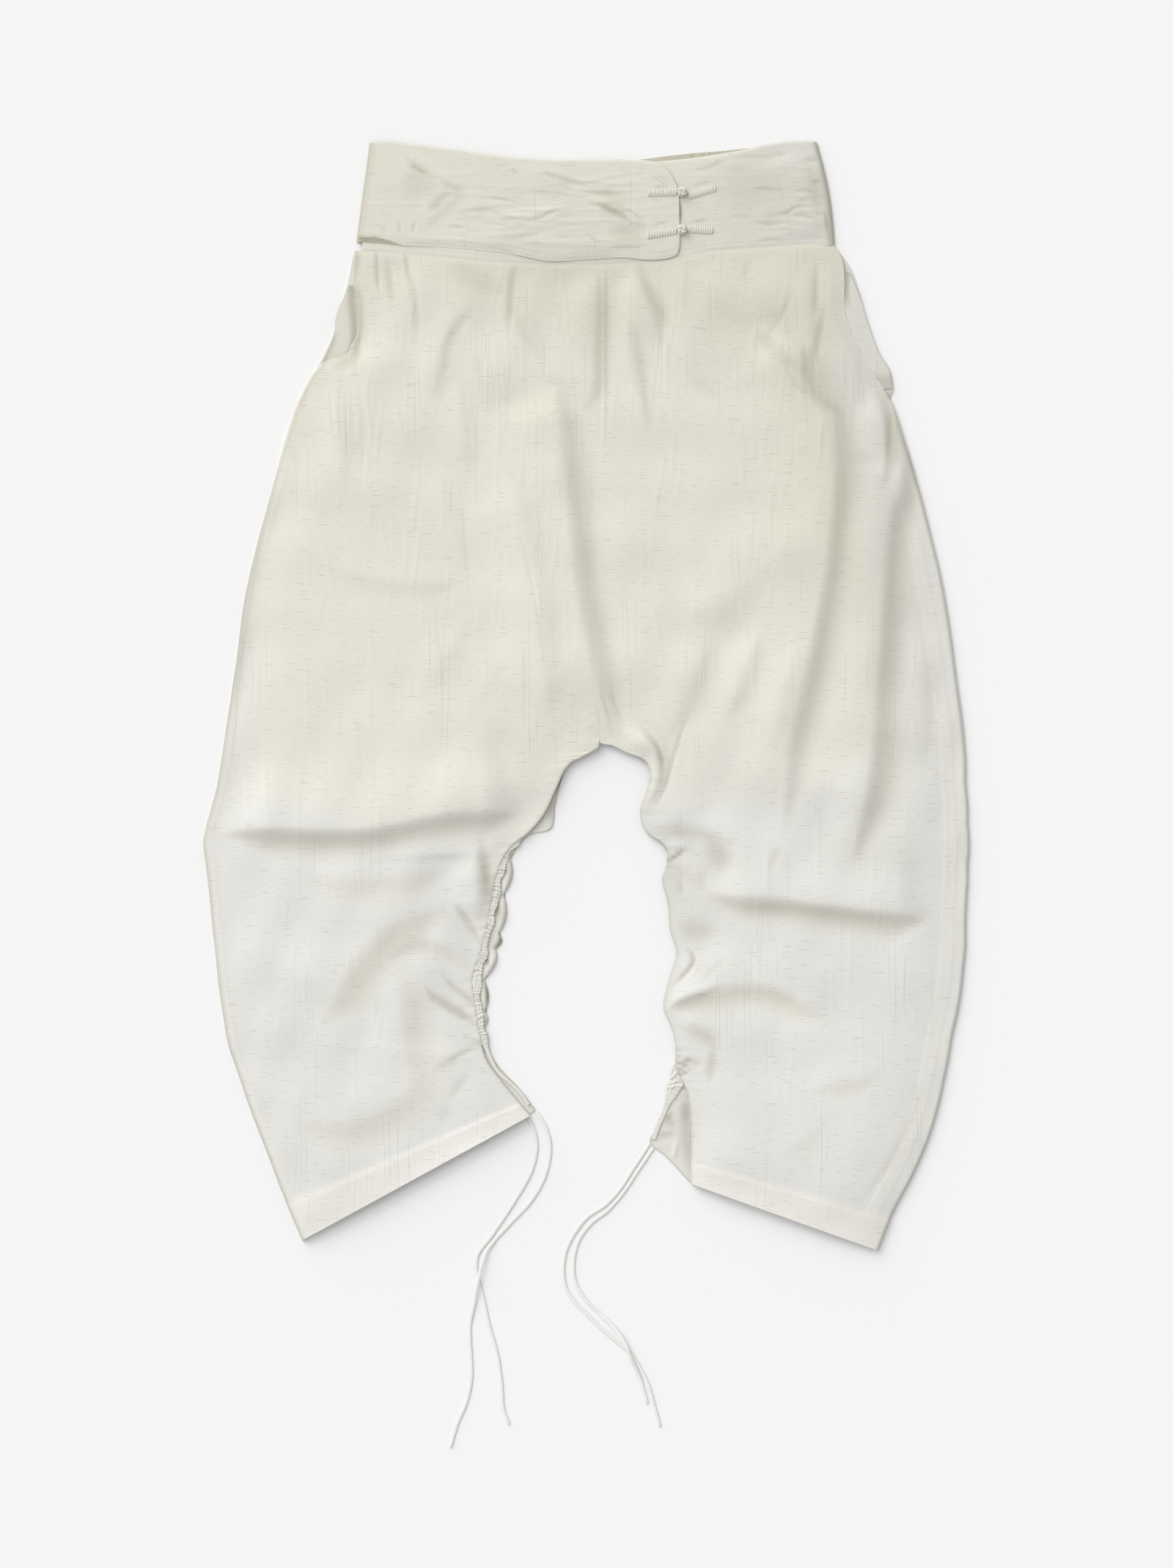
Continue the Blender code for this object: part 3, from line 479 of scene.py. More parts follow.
def mixed_tone(tree, share, first, second):
    """Blends two colours by a share."""
    made = add_node(tree, "ShaderNodeMix", {0: share, 6: first, 7: second}, data_type="RGBA")
    return made.outputs[2]


def cloth_tint(tree, noises):
    """The cloth's colour: tones mixed by the marks, then streaked, darkened by painted shade and slubbed."""
    lined, doubled, dulled = [
        add_node(tree, "ShaderNodeAttribute", attribute_name=mark).outputs["Fac"]
        for mark in ("lined", "doubled", "dulled")]
    tone = mixed_tone(tree, lined, THIN_TONE, LINING_AND_WARM_SHADE_TONE)
    tone = mixed_tone(tree, doubled, tone, DOUBLED_TONE)
    light = BASE_LIGHT
    for kind, share in LIGHT_SHARES.items():
        light = sum_of(tree, light, noises[kind], share)
    lit = add_node(tree, "ShaderNodeVectorMath", {0: tone, 3: light}, operation="SCALE").outputs[0]
    loss = add_node(tree, "ShaderNodeVectorMath", {0: PAINTED_SHADE_LOSS, 3: dulled}, operation="SCALE")
    kept = add_node(tree, "ShaderNodeVectorMath", {
        0: (1.0, 1.0, 1.0), 1: loss.outputs[0]}, operation="SUBTRACT")
    tint = add_node(tree, "ShaderNodeVectorMath", {0: lit, 1: kept.outputs[0]}, operation="MULTIPLY")
    warm = product_of(tree, noises["slubs"], SLUB_WARMTH)
    return mixed_tone(tree, warm, tint.outputs[0], SLUB_TONE)


def cloth_material(name, crinkle_depth):
    material, tree, shader = blank_material(name)
    noises = grain_noises(tree)
    height = 0.0
    for kind, share in HEIGHT_SHARES.items():
        height = sum_of(tree, height, noises[kind], share)
    patchy = product_of(tree, noises["crinkles"], noises["patches"])
    height = sum_of(tree, height, patchy, crinkle_depth)
    bump = add_node(tree, "ShaderNodeBump", {"Height": height, "Distance": MM, "Strength": 1.0})
    tree.links.new(cloth_tint(tree, noises), shader.inputs["Base Color"])
    tree.links.new(bump.outputs[0], shader.inputs["Normal"])
    for socket, value in CLOTH_GLOSS.items():
        shader.inputs[socket].default_value = value
    return material


slub_cloth = cloth_material("slub_cloth", 0.07)
band_cloth = cloth_material("band_cloth", 0.06)
print("cloth materials:", slub_cloth.name, band_cloth.name)

# %% [markdown]
# ## Panels cut from cloth
# A trouser leg's panel is long and narrow, so a pattern maker gives its shape by sections: lines
# across the leg, each with a place on its outer edge and one on its inner edge. The tables below
# list them from the waist to the hem. A smooth line through each column gives both edges, and
# the cloth between them becomes a fine grid of points, which creases can then lift.

# %% Section tables
Section = namedtuple("Section", "outer_x outer_down inner_x inner_down")
WAIST_SEAM = [
    (-208, 101), (-157, 103.5), (-98, 109.5), (-35, 112.5), (17, 112.5), (54, 109.5),
    (83, 106.5), (107, 102), (146, 98.5), (186, 95.5), (212, 95), (224, 96)]
FRONT_RIGHT_SECTIONS = [Section(*row) for row in (
    (-208, 103, 17, 112), (-210, 128, 17, 139), (-205, 141, 17, 158), (-204, 161, 17, 176),
    (-206, 176, 17, 192), (-214, 187, 17, 207), (-239, 203, 16, 227), (-256, 230, 16, 253),
    (-268, 263, 16, 290), (-281, 311, 15, 336), (-296, 366, 14, 385), (-307, 415, 14, 435),
    (-314, 468, 13, 484), (-323, 527, 13, 524), (-328, 560, 12, 543), (-332, 583, 1, 553),
    (-338, 605, -16, 563), (-342, 620, -27, 585), (-344, 633, -37, 606), (-342, 649, -50, 622),
    (-340, 666, -68, 637), (-338, 684, -78, 654), (-336, 707, -84, 680), (-333, 732, -89, 707),
    (-330, 762, -95, 732), (-326, 788, -102, 755), (-322, 812, -99, 781), (-313, 839, -95, 806),
    (-301, 874, -89, 828), (-287, 910, -74, 849), (-271, 952, -61, 865), (-255, 990, -50, 878),
)]
FRONT_LEFT_SECTIONS = [Section(*row) for row in (
    (223, 99, 17, 112), (231, 110, 17, 128), (233, 128, 17, 146), (233, 148, 17, 164),
    (237, 168, 17, 181), (247, 191, 17, 201), (260, 211, 17, 220), (274, 234, 16, 244),
    (286, 267, 16, 277), (297, 303, 15, 313), (309, 349, 14, 359), (320, 395, 14, 405),
    (328, 442, 14, 449), (334, 488, 13, 488), (339, 524, 14, 519), (341, 545, 14, 541),
    (342, 560, 24, 545), (342, 576, 36, 551), (343, 588, 53, 558), (344, 600, 58, 571),
    (344, 614, 55, 585), (345, 626, 49, 604), (345, 640, 54, 622), (344, 653, 72, 636),
    (344, 667, 73, 653), (343, 682, 69, 665), (342, 706, 74, 687), (342, 725, 76, 711),
    (340, 745, 82, 731), (338, 765, 76, 752), (334, 788, 70, 781), (330, 805, 76, 795),
    (327, 824, 81, 814), (323, 844, 82, 836), (318, 867, 91, 855), (309, 897, 94, 874),
    (295, 930, 95, 895), (276, 966, 95, 917), (263, 999, 95, 939),
)]


def with_inner(sections, inner_points):
    """Sections with the same outer points and inner points of their own."""
    return [row._replace(inner_x=x, inner_down=down) for row, (x, down) in zip(sections, inner_points)]


BACK_RIGHT_TOP = [Section(*row) for row in (
    (-214, 131, 17, 139), (-223, 158, 17, 167), (-227, 176, 17, 192), (-237, 197, 17, 207),
)]
BACK_RIGHT_INNER = [
    (-27, 597), (-31, 619), (-50, 625), (-64, 641), (-66, 661), (-70, 682), (-73, 708), (-78, 732),
    (-87, 757), (-87, 781), (-89, 812), (-81, 830), (-62, 851), (-53, 862), (-45, 873)]
BACK_LEFT_TOP = [Section(*row) for row in (
    (223, 99, 17, 112), (238, 117, 17, 128), (246, 138, 17, 146), (254, 164, 17, 164),
    (264, 191, 17, 191), (274, 207, 17, 207), (277, 224, 17, 227),
)]
BACK_LEFT_INNER = [(79, 841), (73, 869), (65, 887), (58, 902), (72, 914)]

# A back has the front's outline, except beside the pocket and along the drawstring channel
BACK_RIGHT_SECTIONS = (FRONT_RIGHT_SECTIONS[:1] + BACK_RIGHT_TOP + FRONT_RIGHT_SECTIONS[7:17]
                       + with_inner(FRONT_RIGHT_SECTIONS[17:], BACK_RIGHT_INNER))
BACK_LEFT_SECTIONS = (BACK_LEFT_TOP + FRONT_LEFT_SECTIONS[7:33]
                      + with_inner(FRONT_LEFT_SECTIONS[33:38], BACK_LEFT_INNER) + FRONT_LEFT_SECTIONS[38:])

LINING_RIGHT_SECTIONS = [Section(*row) for row in (
    (-190, 130, 17, 136), (-190, 180, 17, 192), (-204, 212, 17, 222), (-212, 229, 16, 240),
    (-244, 250, 16, 262), (-265, 312, 15, 336), (-289, 415, 14, 435), (-306, 527, 13, 516),
    (-313, 560, 0, 532), (-317, 583, -42, 572),
)]
LINING_LEFT_SECTIONS = [Section(*row) for row in (
    (205, 128, 17, 136), (218, 188, 17, 192), (254, 236, 16, 253), (282, 312, 15, 336),
    (304, 415, 14, 435), (318, 488, 13, 488), (323, 524, 14, 504), (326, 560, 42, 529),
    (327, 588, 80, 566),
)]
FACING_RIGHT_SECTIONS = [Section(*row) for row in (
    (-212, 131, -195, 131), (-221, 158, -193, 158), (-225, 176, -193, 176), (-234, 195, -198, 197),
    (-250, 226, -215, 226),
)]
FACING_LEFT_SECTIONS = [Section(*row) for row in (
    (236, 119, 222, 119), (244, 138, 222, 138), (252, 164, 226, 164), (262, 191, 236, 191),
    (272, 208, 248, 208), (275, 224, 258, 224),
)]

# Rows of the tables, counted from the waist: the pocket mouth's end, and the crotch
MOUTH_SECTION = 7
CROTCH_SECTION = {"front_right": 14, "front_left": 15, "back_right": 12, "back_left": 15,
                  "lining_right": 7, "lining_left": 6}
print("sections of the fronts:", len(FRONT_RIGHT_SECTIONS), "and", len(FRONT_LEFT_SECTIONS))

# %% [markdown]
# The grid's rows run across the leg from the outer edge to the inner one. Each place remembers
# how far it lies from every edge, because edges decide a lot: they are held down, stitched or
# rolled. At the top the rows dip with the waist seam, and above the crotch the inner edge is the
# seam down the middle.

# %% From sections to a grid of places
SEAM_GAP = 0.3
SEAM_TUCK = 1.5
SEAM_DIP_REACH = 70.0
SEAM_X = 17.0
SEAM_LEAN = 4.6
SEAM_LEAN_START = 215.0
SEAM_LEAN_RUN = 330.0
COARSER = 3
Places = namedtuple("Places", "x down at order width from_outer from_inner from_waist from_hem")


def waist_seam(x):
    """How far down the seam between the waistband and the legs runs at x."""
    table = np.asarray(WAIST_SEAM, float)
    return smooth_line(table[:, 0], table[:, 1], np.clip(x, table[0, 0], table[-1, 0]))


def centre_seam(down):
    """How far across the seam between the two legs lies, from the waist to the crotch."""
    return SEAM_X - SEAM_LEAN * np.clip((down - SEAM_LEAN_START) / SEAM_LEAN_RUN, 0.0, 1.0)


def even_steps(length, step):
    """A number of steps that the coarser underside can share."""
    return COARSER * max(1, int(round(length / (step * COARSER))))


def spread_places(sections, crotch, row_step, column_step, hangs=True):
    """Fine grid between a panel's two edges, with each place's distance from every edge."""
    table = np.asarray(sections, float)
    edges = [run_lengths(table[:, 0], table[:, 1]), run_lengths(table[:, 2], table[:, 3])]
    stations = 0.5 * (edges[0] + edges[1])
    at = np.linspace(0.0, stations[-1], even_steps(stations[-1], row_step) + 1)
    order = np.interp(at, stations, np.arange(len(stations)))
    outer_x, outer_down, inner_x, inner_down = [smooth_line(stations, column, at) for column in table.T]
    seamed = centre_seam(inner_down)
    open_share = eased(order - crotch)
    inner_x = seamed + (inner_x - seamed) * open_share
    widest = np.max(np.hypot(inner_x - outer_x, inner_down - outer_down))
    shares = np.linspace(0.0, 1.0, even_steps(widest, column_step) + 1)
    x = outer_x[:, None] * (1 - shares) + inner_x[:, None] * shares
    down = outer_down[:, None] * (1 - shares) + inner_down[:, None] * shares
    if hangs:
        dip = waist_seam(x[0]) - SEAM_TUCK - down[0]
        down = down + np.clip(1.0 - at / SEAM_DIP_REACH, 0.0, 1.0)[:, None] ** 2 * dip
    width = np.hypot(x[:, -1] - x[:, 0], down[:, -1] - down[:, 0])[:, None]
    from_outer = shares * width
    return Places(x, down, at[:, None], order[:, None], width, from_outer, width - from_outer,
                  at[:, None] + 0.0 * x, (at[-1] - at)[:, None] + 0.0 * x)


print("the middle seam lies", SEAM_X, "mm from the middle at the waist")

# %% [markdown]
# A cloth piece has two sides and a rim. The upper side carries every crease, so it keeps all the
# points. The lower side keeps one place in three each way, which saves many triangles where
# nobody looks, so a face of the rim has one long lower edge and three short upper ones. The
# area of flat cloth that a panel or band was cut from is worked out as well.


def shell_faces(rows, columns):
    """Fine quads above, coarse quads below, and the rim that joins them."""
    upper = np.arange(rows * columns).reshape(rows, columns)
    under = rows * columns + np.arange(rows * columns).reshape(rows, columns)
    kept = under[::COARSER, ::COARSER]
    renumber = np.full(2 * rows * columns, -1)
    renumber[upper.ravel()] = upper.ravel()
    renumber[kept.ravel()] = rows * columns + np.arange(kept.size)
    under = renumber[kept]
    quads = [upper[:-1, :-1], upper[1:, :-1], upper[1:, 1:], upper[:-1, 1:]]
    faces = np.stack(quads, axis=-1).reshape(-1, 4).tolist()
    quads = [under[:-1, :-1], under[:-1, 1:], under[1:, 1:], under[1:, :-1]]
    faces += np.stack(quads, axis=-1).reshape(-1, 4).tolist()
    sides = [(upper[0], under[0]), (upper[:, -1], under[:, -1]),
             (upper[-1, ::-1], under[-1, ::-1]), (upper[::-1, 0], under[::-1, 0])]
    for fine, coarse in sides:
        for k in range(len(coarse) - 1):
            run = fine[COARSER * k:COARSER * (k + 1) + 1].tolist()
            faces.append(run[::-1] + [int(coarse[k]), int(coarse[k + 1])])
    return faces


def make_shell(name, x, down, top, low, material, cloth_uv, marks=None):
    """A cloth piece with an upper side, a lower side and a rim, all as one closed mesh."""
    rows, columns = top.shape
    step = slice(None, None, COARSER)
    points = np.concatenate([
        to_metres(x, down, top).reshape(-1, 3),
        to_metres(x[step, step], down[step, step], low[step, step]).reshape(-1, 3)])
    uv = np.concatenate([cloth_uv.reshape(-1, 2), cloth_uv[step, step].reshape(-1, 2)])
    both = {mark: np.concatenate([values.ravel(), values[step, step].ravel()])
            for mark, values in (marks or {}).items()}
    faces = shell_faces(rows, columns)
    piece = make_mesh(name, points, faces, material, cloth_uv=uv, marks=both)
    triangles = sum(len(face) - 2 for face in faces)
    print(name, "has", triangles, "triangles")
    return piece


def grid_area(x, down):
    """Flat area of a grid of places, in square metres."""
    across = np.stack([x[:-1, 1:] - x[:-1, :-1], down[:-1, 1:] - down[:-1, :-1]])
    along = np.stack([x[1:, :-1] - x[:-1, :-1], down[1:, :-1] - down[:-1, :-1]])
    return float(np.abs(across[0] * along[1] - across[1] * along[0]).sum()) * MM * MM


def declare_cloth(node, places, ease=1.0):
    """Hides the rigid node that a piece stands in for, and works out the area of flat cloth that it was cut
    from.
    """
    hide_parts(node)
    area = grid_area(places.x, places.down) * ease
    return area


face_count = len(shell_faces(7, 7))
print("a shell over 7 by 7 places has", face_count, "faces")

# %% [markdown]
# ## Creases
# Loose cloth on a table keeps air under it, and its spare width stands up in folds. Each fold
# here has a crest, drawn as a few points, and a skewed bell across it: it climbs softly on one
# side and drops steeply on the other, the side on the left of somebody who walks along the
# points. A shallow trough runs along the foot of the steep side, as in real cloth.
#
# A cloth simulation could fold the cloth too, but not in these places, so the crests are given.
# They were drawn first. A fitting program then moved and rescaled most of them, until
# their shading came nearer to the real garment's, so this table isn't all hand-made. The small
# folds near the waistband, the crotch and the drawstring channels are the same thing at a
# smaller size, and so are the sharp thin crinkles that packing leaves in silk.

# %% Folds of the fronts
Fold = namedtuple("Fold", "height soft steep crest")
FRONT_FOLDS = [Fold(*row) for row in (
    # The right leg's tuck and the arcs below it
    (8.6, 40, 12, [(-57, 604), (-105, 602), (-144, 607), (-184, 616), (-223, 619), (-303, 618), (-334, 625)]),
    (1.9, 26, 12, [(-123, 655), (-157, 659), (-197, 662), (-256, 658)]),
    (3.0, 32, 15, [(-123, 688), (-150, 694), (-180, 708), (-210, 737), (-231, 777), (-239, 799)]),
    (2.2, 28, 14, [(-170, 739), (-169, 785), (-163, 824), (-163, 853), (-189, 873), (-229, 881),
        (-266, 880)]),
    # Rays from the right leg's drawstring channel
    (1.6, 12, 7, [(-98, 752), (-124, 725), (-154, 719), (-184, 739)]),
    (5.0, 22, 8, [(-101, 633), (-95, 659), (-90, 689), (-90, 715)]),
    # Centre front
    (2.6, 26, 10, [(8, 112), (8, 151), (6, 191), (4, 224), (-5, 247)]),
    (6.3, 42, 14, [(-29, 217), (-27, 253), (-23, 297), (-17, 343), (-11, 403), (-4, 443), (6, 483),
        (21, 520), (37, 537)]),
    (2.7, 30, 14, [(-71, 298), (-54, 364), (-45, 422), (-40, 482), (-37, 528)]),
    (0.6, 24, 12, [(-91, 244), (-72, 310), (-62, 376), (-61, 442)]),
    # Right hip
    (1.2, 14, 8, [(-76, 102), (-72, 138), (-76, 170)]),
    (1.1, 14, 8, [(-72, 138), (-52, 171), (-35, 204)]),
    (1.2, 16, 9, [(-107, 145), (-126, 172), (-136, 211), (-139, 244)]),
    (1.2, 16, 8, [(-116, 208), (-113, 244), (-109, 277), (-102, 311)]),
    (0.7, 16, 8, [(-134, 296), (-127, 329), (-118, 362), (-105, 395)]),
    (0.8, 14, 8, [(-227, 205), (-223, 244), (-221, 284), (-218, 323)]),
    (1.2, 14, 9, [(-105, 395), (-157, 397), (-198, 391), (-238, 380)]),
    (0.6, 20, 10, [(-72, 455), (-91, 488), (-111, 517), (-123, 541)]),
    (0.8, 20, 10, [(-105, 428), (-131, 468), (-157, 508)]),
    # Left hip: the long groove and what runs into it
    (5.3, 40, 13, [(174, 164), (188, 197), (200, 224), (215, 247), (220, 283), (220, 329), (215, 376),
        (207, 422), (199, 461), (190, 501), (181, 541), (178, 587), (175, 633)]),
    (1.5, 16, 10, [(150, 160), (169, 181), (186, 206)]),
    (1.0, 12, 8, [(200, 106), (198, 138), (201, 171), (208, 203)]),
    (5.7, 28, 13, [(284, 270), (284, 304), (272, 337), (267, 376), (264, 435), (260, 494), (256, 541),
        (250, 587), (241, 634), (235, 660)]),
    (4.2, 18, 8, [(261, 217), (266, 241), (268, 270), (268, 296), (264, 316)]),
    (0.8, 14, 8, [(297, 415), (299, 468), (301, 521), (299, 574)]),
    (1.1, 14, 8, [(37, 112), (40, 151), (43, 191), (48, 230), (54, 271)]),
    (2.9, 15, 9, [(41, 105), (51, 138), (59, 164), (68, 191)]),
    (0.6, 12, 7, [(89, 106), (85, 138), (89, 164)]),
    (2.2, 44, 20, [(192, 336), (159, 382), (120, 409), (80, 426)]),
    (1.8, 22, 12, [(115, 442), (95, 482), (81, 515), (72, 541)]),
    (1.8, 20, 10, [(159, 435), (140, 481), (123, 527)]),
    (1.0, 18, 10, [(190, 451), (174, 503), (165, 549)]),
    # Crotch of the left leg
    (4.8, 15, 7, [(31, 520), (48, 536), (61, 554), (61, 571), (58, 587), (49, 606)]),
    (1.6, 9, 6, [(107, 673), (93, 656), (77, 647)]),
    # Left leg
    (6.8, 36, 11, [(314, 698), (284, 694), (245, 690), (212, 686), (172, 680), (132, 678), (103, 675)]),
    (3.0, 30, 11, [(223, 794), (204, 778), (181, 764), (156, 758), (124, 759), (95, 768), (68, 782)]),
    (2.3, 10, 5, [(124, 759), (101, 768), (82, 776), (67, 785)]),
    (1.2, 16, 9, [(271, 840), (238, 843), (198, 853)]),
    (0.6, 16, 9, [(216, 883), (190, 900), (171, 916)]),
)]
print("folds of the fronts:", len(FRONT_FOLDS))

# %% [markdown]
# For each place, the nearest point of the crest says how far away the fold is and on which side.
# The bell's width follows from that. A fold fades out towards both of its ends and gets slimmer
# there. Only places near the crest are worked out, which keeps hundreds of folds quick.

# %% Heights of folds
CREST_STEP = 7.0
FOLD_END = 38.0
LONGEST_END = 0.4
SHORTEST_END = 0.2
SLIM_END = 0.35
TROUGH_SHARE = 0.14
TROUGH_PLACE = 1.9
FOOT_PLACE = 1.1
FOOT_WIDTH = 0.9
HOLLOW_END = 12.0


def fold_height(fold, x, down, end_reach=FOLD_END):
    """Height of one fold over a grid of places, and how near each place is to its steep foot."""
    crest = smooth_route(fold.crest, CREST_STEP)
    lengths = np.hypot(*np.diff(crest, axis=0).T)
    start = run_lengths(crest[:, 0], crest[:, 1])
    reach = 3.0 * max(fold.soft, 2.0 * fold.steep)
    near = (x > crest[:, 0].min() - reach) & (x < crest[:, 0].max() + reach)
    near &= (down > crest[:, 1].min() - reach) & (down < crest[:, 1].max() + reach)
    x, down = x[near], down[near]
    nearest = np.full(x.shape, np.inf)
    side = np.zeros(x.shape)
    along = np.zeros(x.shape)
    for k, length in enumerate(lengths):
        run = (crest[k + 1] - crest[k]) / length
        step_x, step_down = x - crest[k, 0], down - crest[k, 1]
        done = np.clip(step_x * run[0] + step_down * run[1], 0.0, length)
        distance = np.hypot(step_x - done * run[0], step_down - done * run[1])
        closer = distance < nearest
        nearest = np.where(closer, distance, nearest)
        side = np.where(closer, run[1] * step_x - run[0] * step_down, side)
        along = np.where(closer, start[k] + done, along)
    end = min(end_reach, LONGEST_END * start[-1])
    fade = eased(along / end) * eased((start[-1] - along) / max(end, SHORTEST_END * start[-1]))
    slim = SLIM_END + (1.0 - SLIM_END) * fade
    steep = fold.steep * slim
    width = np.where(side > 0, steep, fold.soft * slim)
    trough = bell(nearest - TROUGH_PLACE * steep, steep) * (side > 0)
    height, foot = np.zeros(near.shape), np.zeros(near.shape)
    height[near] = fold.height * fade * (bell(nearest, width) - TROUGH_SHARE * trough)
    foot[near] = fade * bell(nearest - FOOT_PLACE * steep, FOOT_WIDTH * steep) * (side > 0)
    return height, foot


def hollow_share(hollow, x, down):
    """How much of a hollow there is at each place, from 0 to 1."""
    width = hollow.half_width
    route = np.reshape(hollow.route, (-1, 2)).astype(float)
    end = max(HOLLOW_END, LONGEST_END * float(run_lengths(route[:, 0], route[:, 1])[-1]))
    height, _ = fold_height(Fold(1.0, width, width, route), x, down, end)
    return np.maximum(height, 0.0)


tuck_height, _ = fold_height(FRONT_FOLDS[0], np.array([-184.0]), np.array([616.0]))
print("the right leg's tuck stands", round(float(tuck_height[0]), 1), "mm high at its middle")

# %% [markdown]
# Three kinds of small unevenness come from sources of chance with fixed seeds, so they look the
# same each time: long gentle swells, short thin crinkles, and puckers square to a gathered edge.

# %% Swells, crinkles and gathers
SWELLS = 9
Gather = namedtuple("Gather", "first last wave height reach")


def swells(x, down, height, seed):
    """Gentle unevenness of cloth that has been handled: a few long waves in all directions."""
    source = np.random.default_rng(seed)
    total = np.zeros(x.shape)
    for _ in range(SWELLS):
        length = source.uniform(45.0, 120.0)
        angle = source.uniform(0.0, math.pi)
        phase = source.uniform(0.0, 2 * math.pi)
        total += np.sin(2 * math.pi * (x * math.cos(angle) + down * math.sin(angle)) / length + phase)
    return height * total / 3.0


def crinkles(x, down, centres, count, seed):
    """Many short thin ridges, mostly along the leg, crowded around a few centres."""
    source = np.random.default_rng(seed)
    total = np.zeros(x.shape)
    for k in range(count):
        centre_x, centre_down, spread_x, spread_down = centres[k % len(centres)]
        middle_x = centre_x + source.normal(0.0, spread_x)
        middle_down = centre_down + source.normal(0.0, spread_down)
        lean = source.normal(0.0, 0.10)
        half_length = source.uniform(14.0, 55.0)
        height = source.uniform(0.05, 0.20)
        start = (middle_x - lean * half_length, middle_down - half_length)
        end = (middle_x + lean * half_length, middle_down + half_length)
        bend = (middle_x + source.normal(0.0, 1.2), middle_down)
        total += fold_height(Fold(height, 2.0, 1.3, [start, bend, end]), x, down)[0]
    return total


def gathers(run, distance, gather, seed):
    """Puckers that stand square to an edge and fade away from it."""
    source = np.random.default_rng(seed)
    turn = 2 * math.pi * run / gather.wave
    shape = np.sin(turn + 1.4 * np.sin(0.31 * turn + source.uniform(0, 6)))
    shape += 0.55 * np.sin(1.9 * turn + 1.7 * np.sin(0.23 * turn + source.uniform(0, 6)))
    return gather.height * shape * np.exp(-(np.maximum(distance, 0.0) / gather.reach) ** 1.3)


sample = crinkles(np.zeros((2, 2)), np.zeros((2, 2)), [(0, 0, 1, 1)], 3, 0)
print("three crinkles on one spot stand up to", round(float(sample.max()), 2), "mm high")

# %% [markdown]
# Between folds the cloth also sinks into small hollows: beside a seam that holds it, or where it
# is gathered. Each hollow also paints shade into the cloth's colour, on top of the shading of its
# slope, and where its share is below zero it paints light along a ridge. Each hollow has a depth,
# a share of painted shade and a half width. Its route is a few points again, written as one
# list: across, down, across, down.

# %% Hollows of the fronts
Hollow = namedtuple("Hollow", "depth shade half_width route")

